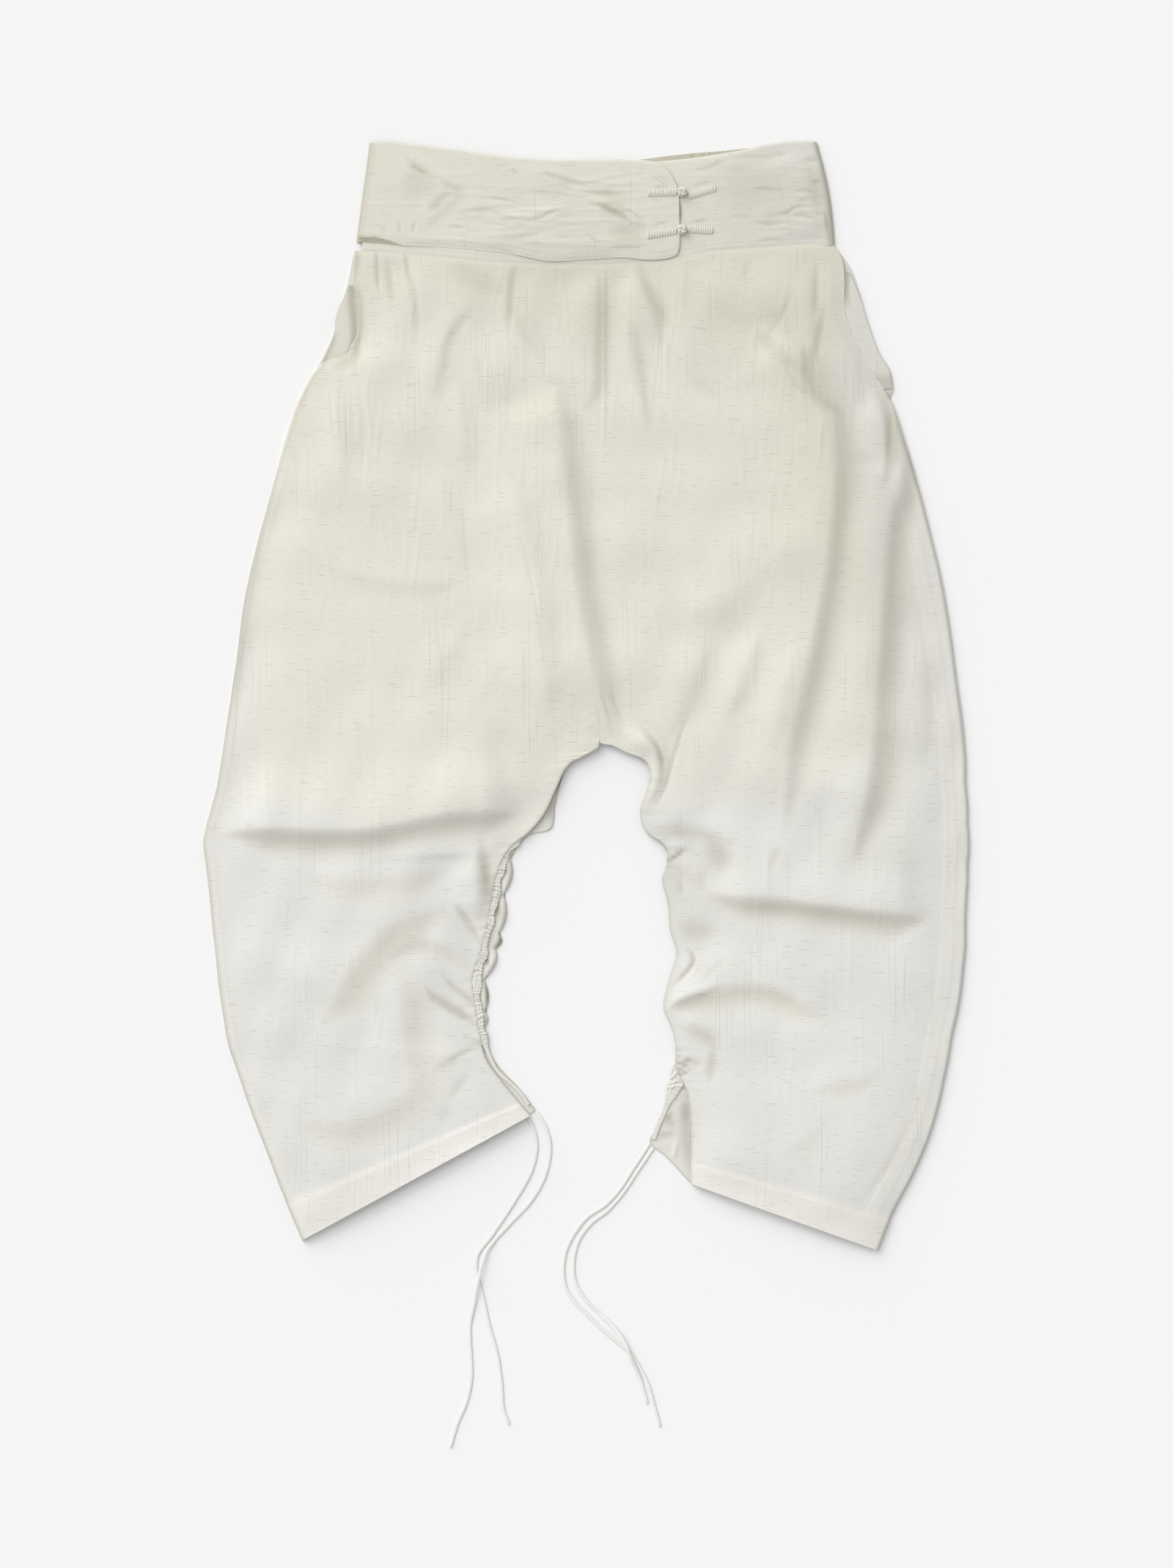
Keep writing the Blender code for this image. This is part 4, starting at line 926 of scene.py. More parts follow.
FRONT_HOLLOWS = [Hollow(*row) for row in (
    # Under the waistband
    (0.94, 0.16, 1.9, [-190, 86, -188, 105, -187, 123, -184, 146]),
    (0.68, 0.112, 3.6, [-179, 102, -177, 118, -174, 135, -173, 158]),
    (0.68, 0.128, 2.2, [-164, 86, -162, 105, -159, 121, -156, 138]),
    (0.54, 0.08, 3.6, [-159, 105, -155, 128, -152, 151, -150, 191]),
    (0, 0.035, 22, [-185, 86, -182, 112, -179, 164]),
    (0.27, 0.08, 4, [-204, 96, -205, 109, -206, 125]),
    (0.54, 0.144, 3.6, [-204, 121, -204, 138, -204, 171, -206, 191, -209, 217]),
    (0.41, 0.112, 6, [-202, 179, -208, 196, -218, 202, -233, 205]),
    (0.54, 0.096, 13, [-131, 110, -105, 123, -78, 137, -65, 145]),
    (0.68, 0.104, 3.8, [-60, 92, -64, 118, -67, 145, -69, 171, -72, 191]),
    (0.54, 0.072, 6, [-72, 135, -62, 158, -52, 178, -37, 204]),
    (0.54, 0.072, 5.5, [-95, 138, -105, 158, -116, 171, -124, 187, -126, 204, -131, 217, -134, 234]),
    (0.27, 0.064, 4, [-98, 189, -95, 204, -98, 217]),
    (0, 0.08, 9, [18, 102, 16, 121, 13, 151, 12, 191, 10, 230, 5, 255]),
    (0.68, 0.096, 6.5, [46, 95, 50, 118, 58, 138, 70, 158, 87, 179]),
    (0.54, 0.08, 6, [42, 145, 43, 164, 46, 184, 51, 211, 57, 244, 66, 270]),
    (0.41, 0.064, 6, [93, 211, 103, 220, 116, 230, 123, 240]),
    (0.27, 0.024, 7, [110, 128, 116, 138, 126, 154, 140, 164, 159, 164, 173, 154, 182, 141]),
    (0.27, 0.08, 3.6, [148, 105, 145, 117, 141, 130]),
    # The left hip
    (0.54, 0.096, 7, [146, 161, 159, 178, 176, 194, 192, 207, 206, 217]),
    (0.41, 0.08, 3, [189, 133, 179, 154, 167, 172, 159, 184]),
    (0.41, 0.064, 2.4, [178, 204, 192, 224, 207, 237]),
    (0.81, 0.128, 6.5, [196, 174, 199, 197, 201, 217, 211, 234, 229, 245, 244, 258]),
    (0.54, 0.112, 3.2, [208, 102, 208, 128, 207, 151, 204, 168]),
    (0.54, 0.112, 3.6, [216, 145, 212, 168, 208, 187, 204, 214]),
    (0.68, 0.096, 3, [273, 227, 274, 253, 273, 280, 270, 306]),
    (0.27, 0.192, 3, [275, 220, 278, 241, 285, 270, 293, 296, 301, 329]),
    (0, 0.053, 8, [233, 263, 229, 303, 226, 349, 223, 389, 214, 435, 205, 488, 196, 541]),
    (0, 0.053, 7, [280, 329, 275, 389, 268, 442, 265, 494, 258, 541]),
    (0, 0.037, 14, [-72, 270, -42, 269, -16, 270]),
    (0, 0.056, 24, [262, 204, 260, 296, 256, 402, 249, 508]),
    (0, 0.104, 13, [-275, 296, -300, 376, -318, 468, -330, 541, -337, 600]),
    (0.41, 0.112, 2, [-278, 310, -291, 362, -301, 415, -309, 468, -315, 527, -321, 587]),
    (0, 0.043, 7, [-10, 277, -6, 323, 2, 376, 12, 435, 25, 488, 35, 517]),
    # Crotch of the left leg
    (1.08, 0.16, 2.2, [45, 523, 57, 536, 66, 547, 69, 560, 70, 577]),
    (0.68, 0.128, 1.8, [54, 610, 62, 602, 69, 590, 74, 577, 78, 560, 83, 544, 90, 524, 100, 504]),
    (0.68, 0.144, 8, [49, 621, 67, 622, 83, 622, 100, 625, 120, 628, 136, 640]),
    (0.68, 0.144, 10, [110, 620, 116, 636, 123, 649, 123, 666]),
    (-1.08, -0.048, 5, [70, 633, 83, 634, 95, 638]),
    (0.41, 0.096, 4, [56, 625, 62, 633, 70, 641]),
    (1.08, 0.32, 1.8, [67, 653, 74, 649, 80, 645, 88, 639, 94, 634]),
    (0.41, 0.08, 4, [85, 663, 86, 684]),
    (0.41, 0.08, 4, [176, 633, 170, 649, 166, 661]),
    (0.27, 0.048, 1.6, [-65, 329, -53, 376, -44, 422, -37, 468, -34, 508]),
    # The left leg
    (0.27, 0.072, 3.6, [306, 844, 295, 877, 276, 917, 253, 950, 237, 973]),
    (0, 0.075, 6, [110, 684, 133, 690, 173, 690, 219, 692, 265, 698, 295, 700]),
    (0.41, 0.128, 10, [77, 704, 93, 710, 110, 713, 126, 713]),
    (1.22, 0.224, 2.4, [83, 724, 95, 731, 98, 740, 92, 748, 82, 758, 75, 767]),
    (0.94, 0.192, 2.8, [71, 785, 83, 777, 100, 770, 118, 765]),
    (0.27, 0.048, 7, [123, 770, 159, 768, 182, 776, 206, 789]),
    (0.54, 0.16, 8, [83, 798, 97, 802, 110, 808, 125, 819]),
    (0.54, 0.16, 5, [116, 810, 114, 831, 111, 854]),
    (0.54, 0.16, 4.5, [82, 834, 93, 830, 110, 831]),
    (0.54, 0.16, 2, [79, 857, 85, 856, 91, 852]),
    (1.22, 0.32, 1.4, [72, 835, 83, 831, 91, 828, 101, 826]),
    (1.22, 0.32, 1.3, [71, 843, 82, 838, 88, 834, 97, 830]),
    (0.94, 0.256, 1.2, [72, 829, 82, 826, 89, 822]),
    (1.22, 0.32, 1.4, [71, 849, 82, 843, 89, 839, 100, 834]),
    (0.54, 0.128, 3.5, [89, 848, 92, 864, 92, 897, 93, 934]),
    (0.27, 0.048, 3, [133, 732, 113, 748, 103, 762]),
    # The right leg
    (1.35, 0.176, 7.5, [-94, 623, -91, 646, -87, 669, -82, 689, -81, 707]),
    (1.49, 0.192, 3.5, [-123, 683, -108, 700, -99, 715, -91, 731]),
    (0.27, 0.048, 2, [-141, 676, -128, 692, -115, 707, -101, 722]),
    (1.22, 0.176, 3.2, [-131, 748, -119, 762, -105, 773, -97, 788]),
    (1.89, 0.256, 4.5, [-147, 757, -138, 770, -121, 781, -105, 791, -91, 805]),
    (0.68, 0.176, 1.3, [-114, 807, -105, 808, -98, 810, -90, 814]),
    (0.68, 0.176, 1.3, [-105, 814, -97, 814, -89, 816]),
    (0.94, 0.192, 1.8, [-89, 822, -95, 818, -103, 819, -115, 824, -128, 831]),
    (0.68, 0.08, 5, [-105, 826, -118, 830, -131, 836, -139, 840]),
    (0.54, 0.08, 4, [-99, 839, -108, 845, -116, 856, -123, 867]),
    (0.41, 0.064, 6, [-124, 864, -126, 877, -131, 890]),
    # Sharp little creases that run with the grain
    (0.68, 0.08, 1.5, [14, 488, 18, 508, 23, 524, 29, 542]),
    (0.68, 0.08, 1.5, [22, 484, 26, 504, 33, 521, 39, 537]),
    (0.41, 0.064, 1.5, [9, 501, 12, 517, 16, 534]),
    (0.41, 0.064, 0.9, [-231, 217, -229, 244, -226, 274]),
    (0.41, 0.064, 0.9, [-223, 216, -221, 247, -218, 286]),
    (0.41, 0.064, 0.9, [-217, 214, -215, 257, -212, 300]),
    (0.2, 0.048, 1, [41, 112, 41, 164, 41, 217]),
    (0.2, 0.048, 1, [-53, 118, -52, 151, -53, 184]),
    (0.2, 0.048, 1, [-37, 171, -36, 201, -38, 230]),
    (0.2, 0.048, 1, [-212, 204, -210, 244, -206, 283]),
    (0.2, 0.048, 1, [-201, 217, -200, 270, -202, 336]),
    (0.2, 0.048, 1, [-115, 283, -110, 336, -105, 395, -98, 455]),
    (0.2, 0.048, 1, [153, 172, 154, 199]),
    (0.2, 0.048, 1, [231, 237, 233, 270]),
    (0.2, 0.048, 1, [70, 131, 71, 184]),
    (0.2, 0.048, 1, [112, 105, 113, 151, 113, 197]),
    (0.2, 0.048, 1, [190, 138, 192, 184]),
    (0.2, 0.048, 1, [182, 158, 184, 204]),
)]
BACK_HOLLOWS = [Hollow(*row) for row in (
    (0.2, 0.192, 6.2, [91, 847, 90, 864, 90, 884, 92, 910, 95, 940]),
    (0.3, 0.48, 2.2, [-72, 638, -72, 649, -71, 667]),
    (0.3, 0.352, 4, [-83, 671, -80, 686, -78, 706]),
    (0.3, 0.448, 3.2, [-82, 732, -78, 723, -73, 712]),
    (0.3, 0.4, 1.8, [-89, 733, -88, 745]),
    (0.3, 0.448, 2, [-89, 754, -88, 766, -88, 783]),
    (0.3, 0.4, 1.6, [-91, 786, -91, 798]),
    (0.1, 0.16, 4, [91, 859, 90, 874, 91, 889]),
    (0.5, 0.176, 4.5, [70, 869, 75, 881, 83, 894]),
    (0.5, 0.16, 3.4, [62, 894, 72, 896, 85, 893]),
    (0.3, 0.096, 1.5, [72, 872, 67, 887, 62, 901]),
    (-0.9, -0.048, 1.6, [82, 897, 81, 908, 78, 921]),
    (0.2, 0.256, 3, [-16, 560, -23, 575, -28, 590]),
    (0.2, 0.192, 2.4, [-28, 590, -31, 603, -33, 618]),
    (0.2, 0.144, 3.4, [221, 90, 229, 105, 236, 118, 241, 135]),
    (0.2, 0.32, 4, [269, 226, 274, 230, 276, 237]),
    (0.1, 0.112, 4, [-209, 97, -211, 112, -214, 129]),
)]
FLAP_HOLLOWS = [Hollow(*row) for row in (
    (0.45, 0.095, 3.4, [-167, 10, -157, 20, -144, 30, -131, 38]),
    (0.45, 0.114, 1.3, [-160, 20, -151, 27, -139, 34]),
    (0.6, 0.095, 3.6, [-132, 36, -120, 43, -107, 50]),
    (0.75, 0.114, 4.5, [-113, 48, -127, 52, -134, 60, -146, 67]),
    (0, 0.085, 15, [-160, 20, -151, 39, -156, 65]),
    (0.6, 0.095, 1.5, [-167, 72, -167, 88]),
    (0.6, 0.095, 1.8, [-153, 73, -155, 86]),
    (0.45, 0.076, 2.2, [-182, 75, -181, 86]),
    (0.45, 0.057, 1.6, [-98, 51, -72, 55, -47, 61]),
    (0.6, 0.085, 2.8, [-114, 65, -95, 64, -78, 66, -67, 72, -61, 75]),
    (0.6, 0.085, 1.9, [-61, 74, -42, 71, -29, 65, -12, 61]),
    (0.45, 0.057, 1.2, [-91, 76, -78, 77, -65, 80]),
    (0.45, 0.057, 1.9, [-128, 81, -116, 79, -105, 82]),
    (0.45, 0.067, 2.4, [-86, 86, -65, 88, -42, 85, -31, 82]),
    (0.3, 0.057, 1.5, [-29, 88, -6, 87]),
    (0.45, 0.095, 1.3, [1, 85, 11, 92, 16, 95]),
    (0.75, 0.114, 2.8, [-49, 31, -32, 32, -20, 36, -6, 40, 9, 44]),
    (0.6, 0.095, 2.3, [-10, 47, 1, 48, 21, 49, 35, 51]),
    (0.45, 0.057, 1.9, [-65, 47, -39, 48, -12, 51, 1, 55]),
    (0.3, 0.095, 1.2, [-85, 22, -72, 24, -65, 23]),
    (0.3, 0.114, 1.2, [-67, 23, -65, 28, -58, 33]),
    (1.2, 0.171, 3, [-2, 56, 14, 60, 24, 65, 34, 70, 42, 76, 49, 82]),
    (0.45, 0.104, 10, [6, 48, 24, 56, 42, 72]),
    (0.3, 0.104, 9, [18, 76, 37, 85, 56, 92]),
    (0.6, 0.114, 1.3, [29, 61, 42, 65, 54, 75]),
    (0.45, 0.114, 1.2, [59, 31, 68, 38, 78, 44]),
    (0.3, 0.076, 1.1, [64, 30, 72, 36, 80, 44]),
    (0.3, 0.114, 1.6, [58, 44, 67, 43, 79, 44]),
    (0.3, 0.114, 1.6, [56, 78, 68, 76, 80, 73]),
    (0.6, 0.152, 1.2, [16, 98, 34, 97, 55, 97]),
    (0.45, 0.057, 1.1, [-131, 91, -105, 93, -88, 96, -72, 100, -57, 103]),
)]
BAND_HOLLOWS = [Hollow(*row) for row in (
    (0.3, 0.304, 1.6, [46, 19, 57, 20, 70, 22]),
    (0, 0.076, 20, [107, 47, 159, 42, 207, 39]),
    (0, 0.114, 7, [203, 16, 207, 46, 211, 72]),
    (0.45, 0.228, 1.2, [215, 59, 217, 75, 219, 92]),
    (0.45, 0.076, 2, [116, 19, 140, 16, 163, 15, 186, 11, 206, 8]),
    (0.45, 0.076, 2.4, [93, 28, 110, 26, 123, 20, 133, 18]),
    (0.45, 0.114, 2.6, [195, 18, 204, 18, 212, 15]),
    (0.45, 0.114, 2.2, [202, 39, 214, 38]),
    (0.45, 0.095, 1.8, [184, 48, 199, 46, 212, 50]),
    (0.3, 0.076, 1.8, [189, 57, 204, 52]),
    (0.6, 0.095, 1.7, [167, 67, 182, 66, 189, 61, 198, 60, 209, 62]),
    (0.45, 0.095, 1.7, [182, 68, 199, 69, 212, 73]),
    (0.45, 0.076, 2, [153, 75, 169, 77, 182, 74]),
    (0.3, 0.057, 2, [126, 69, 158, 71]),
    (0.3, 0.076, 2, [146, 47, 159, 44, 179, 47]),
    (0.45, 0.095, 2, [145, 96, 156, 92, 173, 90, 186, 92]),
    (0.3, 0.076, 1.4, [155, 96, 173, 98, 191, 97]),
    (0.3, 0.057, 1.4, [103, 100, 123, 98, 141, 97]),
    (0.6, 0.418, 1, [86, 53, 86, 76]),
    (0.3, 0.114, 1.7, [93, 42, 103, 40, 118, 37]),
    (0.45, 0.152, 1.6, [93, 75, 103, 73, 113, 73]),
)]
print("hollows of fronts, backs, flap and band:", len(FRONT_HOLLOWS), len(BACK_HOLLOWS),
      len(FLAP_HOLLOWS), len(BAND_HOLLOWS))

# %% [markdown]
# ## The two fronts
# Each front runs from the waist seam to the hem. It is sewn to the other front down the middle,
# and to its back along the outer edge, where the seam allowances make a narrow thicker strip.
# At the inner edge of the lower leg the drawstring pulls it into puckers.
#
# The heights add up from simple parts: the layers below it, rolled edges, air that lifts the
# middle, the folds, the swells and the crinkles. Near an edge everything fades, because the
# seams hold the cloth down. The hems and the crotch, which nothing presses, stand up a little,
# and throw the soft shadow below them.

# %% Lift of a front
CLOTH = 1.2
EDGE_LOW = 1.5
LEAST_ROLL = 0.9
FRONT_LOW = 2.8
AIR_LIFT = 3.4
AIR_REACH = 32.0
CROTCH_REACH = 40.0
FOLD_FADE = 9.0
MOUTH_ROLL = {"front_right": 0.8, "front_left": 14.0}
EDGE_ROLL = 2.0
OPEN_EDGE_DROP = 0.5
CHANNEL_EDGE_DROP = 0.25
WAIST_ROLL = 4.0
WAIST_DROP = 0.45
BESIDE_CHANNEL = {"front_right": 1.0, "front_left": 0.0}
CHANNEL_START = 640.0
CHANNEL_END = 825.0
CROTCH_MIDDLE = (10.0, 560.0)
CROTCH_SPREAD = 100.0
CROTCH_LIFT = 3.0
HEM_LIFT = {"front_right": 4.5, "front_left": 5.0}
HEM_LIFT_REACH = 80.0
HEM_OUTER_REACH = 22.0
HEM_INNER_REACH = 15.0
HEM_INNER_DROP = 0.6


def distance_below_crotch(places, crotch):
    """How far each place lies from the inner edge below the crotch, in a straight line."""
    below = places.order[:, 0] >= crotch
    nearest = np.full(places.x.shape, np.inf)
    for x, down in zip(places.x[below, -1], places.down[below, -1]):
        nearest = np.minimum(nearest, np.hypot(places.x - x, places.down - down))
    return nearest


def fading(places, from_open, reach, inner_reach):
    """Fades from 1 in the middle of a panel to 0 at its held edges, level at both."""
    outer = 1.0 - bell(places.from_outer, reach)
    inner = 1.0 - bell(from_open, inner_reach)
    ends = (1.0 - bell(places.from_waist, reach)) * (1.0 - bell(places.from_hem, reach))
    return outer * inner * ends


def hem_rise(name, places):
    """How far a hem stands up: most in its middle, least at its corners."""
    rise = HEM_LIFT[name] * np.exp(-places.from_hem / HEM_LIFT_REACH)
    rise = rise * (1.0 - np.exp(-places.from_outer / HEM_OUTER_REACH))
    return rise * (1.0 - HEM_INNER_DROP * np.exp(-places.from_inner / HEM_INNER_REACH))


def front_lows(name, places, relief):
    """Height of a front's lower side everywhere, with all that lifts it."""
    from_open = distance_below_crotch(places, CROTCH_SECTION[name])
    past_mouth = np.clip(places.order - MOUTH_SECTION, 0.0, 1.0)
    by_channel = eased((places.down - CHANNEL_START) / 10.0) * eased((CHANNEL_END - places.down) / 20.0)
    by_channel = by_channel * BESIDE_CHANNEL[name]
    edge_drop = OPEN_EDGE_DROP - CHANNEL_EDGE_DROP * by_channel
    roll = 1.0 - edge_drop * (1.0 - rounded(from_open, EDGE_ROLL))
    roll = roll * (1.0 - past_mouth * (1.0 - rounded(places.from_outer, EDGE_ROLL)))
    roll = roll * (1.0 - (1.0 - past_mouth) * (1.0 - eased(places.from_outer / MOUTH_ROLL[name])))
    roll = roll * (1.0 - WAIST_DROP * (1.0 - rounded(places.from_waist, WAIST_ROLL)))
    from_crotch = np.hypot(places.x - CROTCH_MIDDLE[0], places.down - CROTCH_MIDDLE[1])
    near_crotch = bell(from_crotch, CROTCH_SPREAD)
    inner_reach = AIR_REACH + CROTCH_REACH * np.maximum(near_crotch, by_channel)
    air = fading(places, from_open, AIR_REACH, inner_reach)
    firm = fading(places, from_open, FOLD_FADE, FOLD_FADE)
    low = EDGE_LOW + (FRONT_LOW - EDGE_LOW) * roll + AIR_LIFT * air + relief * firm
    low = low + hem_rise(name, places) + CROTCH_LIFT * near_crotch
    return np.maximum(low, EDGE_LOW + LEAST_ROLL * roll)


print("a front's hem stands", HEM_LIFT["front_right"], "to", HEM_LIFT["front_left"], "mm up")

# %% [markdown]
# The fronts look different from place to place although they are one cloth. The lining ends on
# a line above the knee, and along the sides it stops short of the seam. The hem is faced, and
# the seam allowances make a strip. Painted shade darkens soft spots, narrow strips along the
# edges where the cloth turns down, the feet of folds and the hollows, and a few spots get painted
# light.

# %% Marks of a front
Spot = namedtuple("Spot", "x down reach_x reach_down share")
# Soft spots of painted shade; a share below zero paints light
PAINTED_LIGHT_AND_SHADE_SPOTS = [Spot(*row) for row in (
    (0, 60, 260, 70, 0.05), (30, 130, 150, 35, 0.07), (240, 270, 80, 170, 0.10), (180, 170, 60, 60, 0.04),
    (170, 50, 60, 50, 0.05), (-65, 128, 75, 25, 0.04), (0, 150, 45, 50, 0.045), (133, 165, 40, 30, 0.05),
    (85, 666, 36, 50, 0.06), (135, 650, 45, 20, 0.04), (250, 640, 40, 20, 0.05), (-115, 90, 30, 12, -0.04),
    (270, 520, 60, 150, 0.055), (-50, 238, 30, 18, 0.055), (-325, 590, 24, 34, 0.05),
    (-200, 480, 130, 90, -0.03), (274, 228, 5, 6, 0.16), (-100, 902, 42, 26, -0.095),
    (-160, 932, 42, 26, -0.06), (199, 831, 60, 60, -0.035), (-276, 699, 50, 60, -0.03),
    (107, 620, 30, 18, -0.04),
)]
LINED_SIDE = {
    "front_right": [(0, -330), (300, -288), (400, -302), (590, -302)],
    "front_left": [(0, 330), (60, 300), (110, 236), (150, 224), (240, 222), (270, 230), (336, 245),
                   (402, 252), (468, 262), (534, 266), (590, 264)],
}
# On the right front the foot runs low under the tuck, so the lining's warm tone also paints the tuck's shaded
# side
LINED_FOOT = {
    "front_right": [(-400, 588), (-290, 592), (-230, 606), (-170, 626), (-60, 634), (40, 634)],
    "front_left": [(0, 594), (186, 593), (206, 583), (232, 567), (262, 547), (400, 520)],
}
FOOT_BLUR = 14.0
CROTCH_BLUR = 26.0
LINED_LEAST = 0.62
LINED_RUN = 260.0
# Painted warm shade and painted shade at the feet of folds
FOLD_PAINTED_WARMTH = 0.8
FOLD_PAINTED_SHADE = 0.02
HEM_DEPTH = 25.0
SEAM_STRIP = {"front_right": (-3.0, 9.0), "front_left": (10.0, 23.0)}
STRIP_SHARE = 0.55
# Painted shade in narrow strips where the cloth turns down: the pocket mouth, the outer edge below it and the
# open inner edge
MOUTH_PAINTED_SHADE = {"front_right": 0.13, "front_left": 0.02}
MOUTH_SHADE_REACH = 5.0
OUTER_PAINTED_SHADE = {"front_right": 0.32, "front_left": 0.15}
OUTER_SHADE_REACH = 2.4
INNER_PAINTED_SHADE = {"front_right": 0.05, "front_left": 0.22}
INNER_SHADE_REACH = 1.8


def painted_light_and_shade(x, down):
    """Soft spots of painted shade, and a few of painted light, as a share of its colour."""
    total = np.zeros(np.shape(x))
    for spot in PAINTED_LIGHT_AND_SHADE_SPOTS:
        far = ((x - spot.x) / spot.reach_x) ** 2 + ((down - spot.down) / spot.reach_down) ** 2
        total = total + spot.share * np.exp(-far)
    return total


def lined_share(name, places):
    """How strongly the lining shows: softly inside its side, fading towards its foot."""
    side = np.asarray(LINED_SIDE[name], float).T
    foot = np.asarray(LINED_FOOT[name], float).T
    inside = np.abs(np.interp(places.down, side[0], side[1])) - np.abs(places.x)
    above = np.interp(places.x, foot[0], foot[1]) - places.down
    blur = FOOT_BLUR + CROTCH_BLUR * bell(places.x - 60.0, 70.0)
    lined = 0.35 * eased(inside / 60.0 + 1.0) + 0.65 * eased(inside / 9.0 + 0.5)
    lined = lined * eased(above / blur + 0.5)
    return lined * (LINED_LEAST + (1.0 - LINED_LEAST) * eased(above / LINED_RUN))


def front_marks(name, places, fold_foot_shade):
    """Where a front looks lined and doubled, and where it gets painted shade and painted warm shade."""
    strip_start, strip_end = SEAM_STRIP[name]
    past_strip = np.clip(places.order - MOUTH_SECTION - 1.0, 0.0, 1.0)
    open_leg = np.clip(places.order - CROTCH_SECTION[name], 0.0, 1.0)
    in_strip = eased((places.from_outer - strip_start) / 1.5) * eased((strip_end - places.from_outer) / 1.5)
    in_hem = eased(HEM_DEPTH - places.from_hem)
    lined = np.maximum(lined_share(name, places), FOLD_PAINTED_WARMTH * fold_foot_shade) * (1.0 - in_hem)
    doubled = np.maximum(in_strip * past_strip * STRIP_SHARE, in_hem)
    dulled = painted_light_and_shade(places.x, places.down) + FOLD_PAINTED_SHADE * fold_foot_shade
    dulled = dulled + OUTER_PAINTED_SHADE[name] * bell(places.from_outer, OUTER_SHADE_REACH) * past_strip
    dulled = dulled + MOUTH_PAINTED_SHADE[name] * bell(places.from_outer, MOUTH_SHADE_REACH) * (1.0 - past_strip)
    dulled = dulled + INNER_PAINTED_SHADE[name] * bell(places.from_inner, INNER_SHADE_REACH) * open_leg
    for hollow in FRONT_HOLLOWS:
        dulled = dulled + hollow.shade * hollow_share(hollow, places.x, places.down)
    return {"lined": lined, "doubled": doubled, "dulled": dulled}


print("dull spots on the fronts:", len(PAINTED_LIGHT_AND_SHADE_SPOTS))

# %% [markdown]
# Both fronts are made from the same few steps. The crinkles crowd around a few centres, each with
# its place and its spread. The gathers stand between two sections of the inner edge.

# %% Make the fronts
FRONT_ROW_STEP = 2.9
FRONT_COLUMN_STEP = 1.55
CRINKLES = 190
CRINKLED = {
    "front_right": [(-185, 300, 50, 110), (-60, 200, 45, 60), (-90, 430, 70, 80), (-210, 520, 60, 90),
                    (-30, 300, 25, 110), (-220, 740, 60, 80), (-190, 200, 20, 60)],
    "front_left": [(165, 220, 22, 60), (60, 200, 30, 80), (200, 300, 40, 110), (110, 420, 60, 90),
                   (240, 600, 50, 90), (200, 800, 60, 90), (230, 240, 20, 50)],
}
GATHERED = {
    "front_right": [Gather(19.0, 28.0, 8.0, 0.40, 12.0), Gather(13.0, 17.0, 13.0, 0.3, 16.0)],
    "front_left": [Gather(17.5, 25.0, 10.0, 0.4, 14.0), Gather(31.2, 34.6, 5.5, 0.5, 10.0)],
}
SEAM_RIDGE = 0.28
SEAM_GROOVE = 0.12
SWELL_SEED = 11
HEM_STEP = 0.5
DOUBLED_STEP = 0.35
FOLD_EASE = 1.04


def centre_seam_relief(name, places):
    """The seam down the middle: a thin ridge beside a wide groove, fainter below the hips."""
    from_seam = np.abs(places.x - centre_seam(places.down))
    share = eased(CROTCH_SECTION[name] - places.order)
    share = share * (0.1 + 0.9 * eased((300.0 - places.down) / 60.0))
    return share * (SEAM_RIDGE * bell(from_seam, 1.4) - SEAM_GROOVE * bell(from_seam - 4.0, 2.5))


def front_relief(name, places, seed):
    """Everything that a front's cloth does between its seams, and how much painted warm shade goes at the
    feet of its folds.
    """
    relief = swells(places.x, places.down, 0.55, SWELL_SEED)
    fold_foot_shade = np.zeros(places.x.shape)
    for fold in FRONT_FOLDS:
        height, foot = fold_height(fold, places.x, places.down)
        relief += height
        fold_foot_shade = np.maximum(fold_foot_shade, foot * min(1.0, fold.height / 3.0))
    for hollow in FRONT_HOLLOWS:
        relief -= hollow.depth * hollow_share(hollow, places.x, places.down)
    relief += crinkles(places.x, places.down, CRINKLED[name], CRINKLES, seed + 50)
    return relief + centre_seam_relief(name, places), fold_foot_shade


def front_puckers(name, places, seed):
    """Puckers along the inner edge, between pairs of sections."""
    edge_run = run_lengths(places.x[:, -1], places.down[:, -1])[:, None]
    total = np.zeros(places.x.shape)
    for number, gather in enumerate(GATHERED[name]):
        share = eased((places.order - gather.first) / 1.2) * eased((gather.last - places.order) / 1.2)
        total += share * gathers(edge_run, places.from_inner, gather, seed + number)
    return total


def make_front(name, sections, seed):
    places = spread_places(sections, CROTCH_SECTION[name], FRONT_ROW_STEP, FRONT_COLUMN_STEP)
    relief, fold_foot_shade = front_relief(name, places, seed)
    low = front_lows(name, places, relief)
    low = np.maximum(low + front_puckers(name, places, seed + 20), EDGE_LOW)
    marks = front_marks(name, places, fold_foot_shade)
    hem_step = HEM_STEP * eased((HEM_DEPTH - places.from_hem) / 1.5)
    top = low + CLOTH + hem_step + DOUBLED_STEP * marks["doubled"]
    uv = np.stack([places.x, places.down], axis=-1) * MM
    piece = make_shell(name + "_cloth", places.x, places.down, top, low, slub_cloth, uv, marks)
    area = declare_cloth(name, places, FOLD_EASE)
    print(name, "stands", round(float(top.max()), 1), "mm high, cut from", round(area, 3), "m2")


make_front("front_right", FRONT_RIGHT_SECTIONS, 11)
make_front("front_left", FRONT_LEFT_SECTIONS, 12)

# %% [markdown]
# ## Waistband and flap
# The waistband is folded double along its top edge and holds a firm inner layer. At the front it
# opens: a long flap comes from the wearer's right and laps over the left part, and at the right
# side its end turns down. The back of the band is gathered by elastic, and its inner side shows
# above the front's edge.
#
# A band is a grid as well, given by columns instead of sections. Its wrinkles are shallow and
# run along it or slant down from the fold.

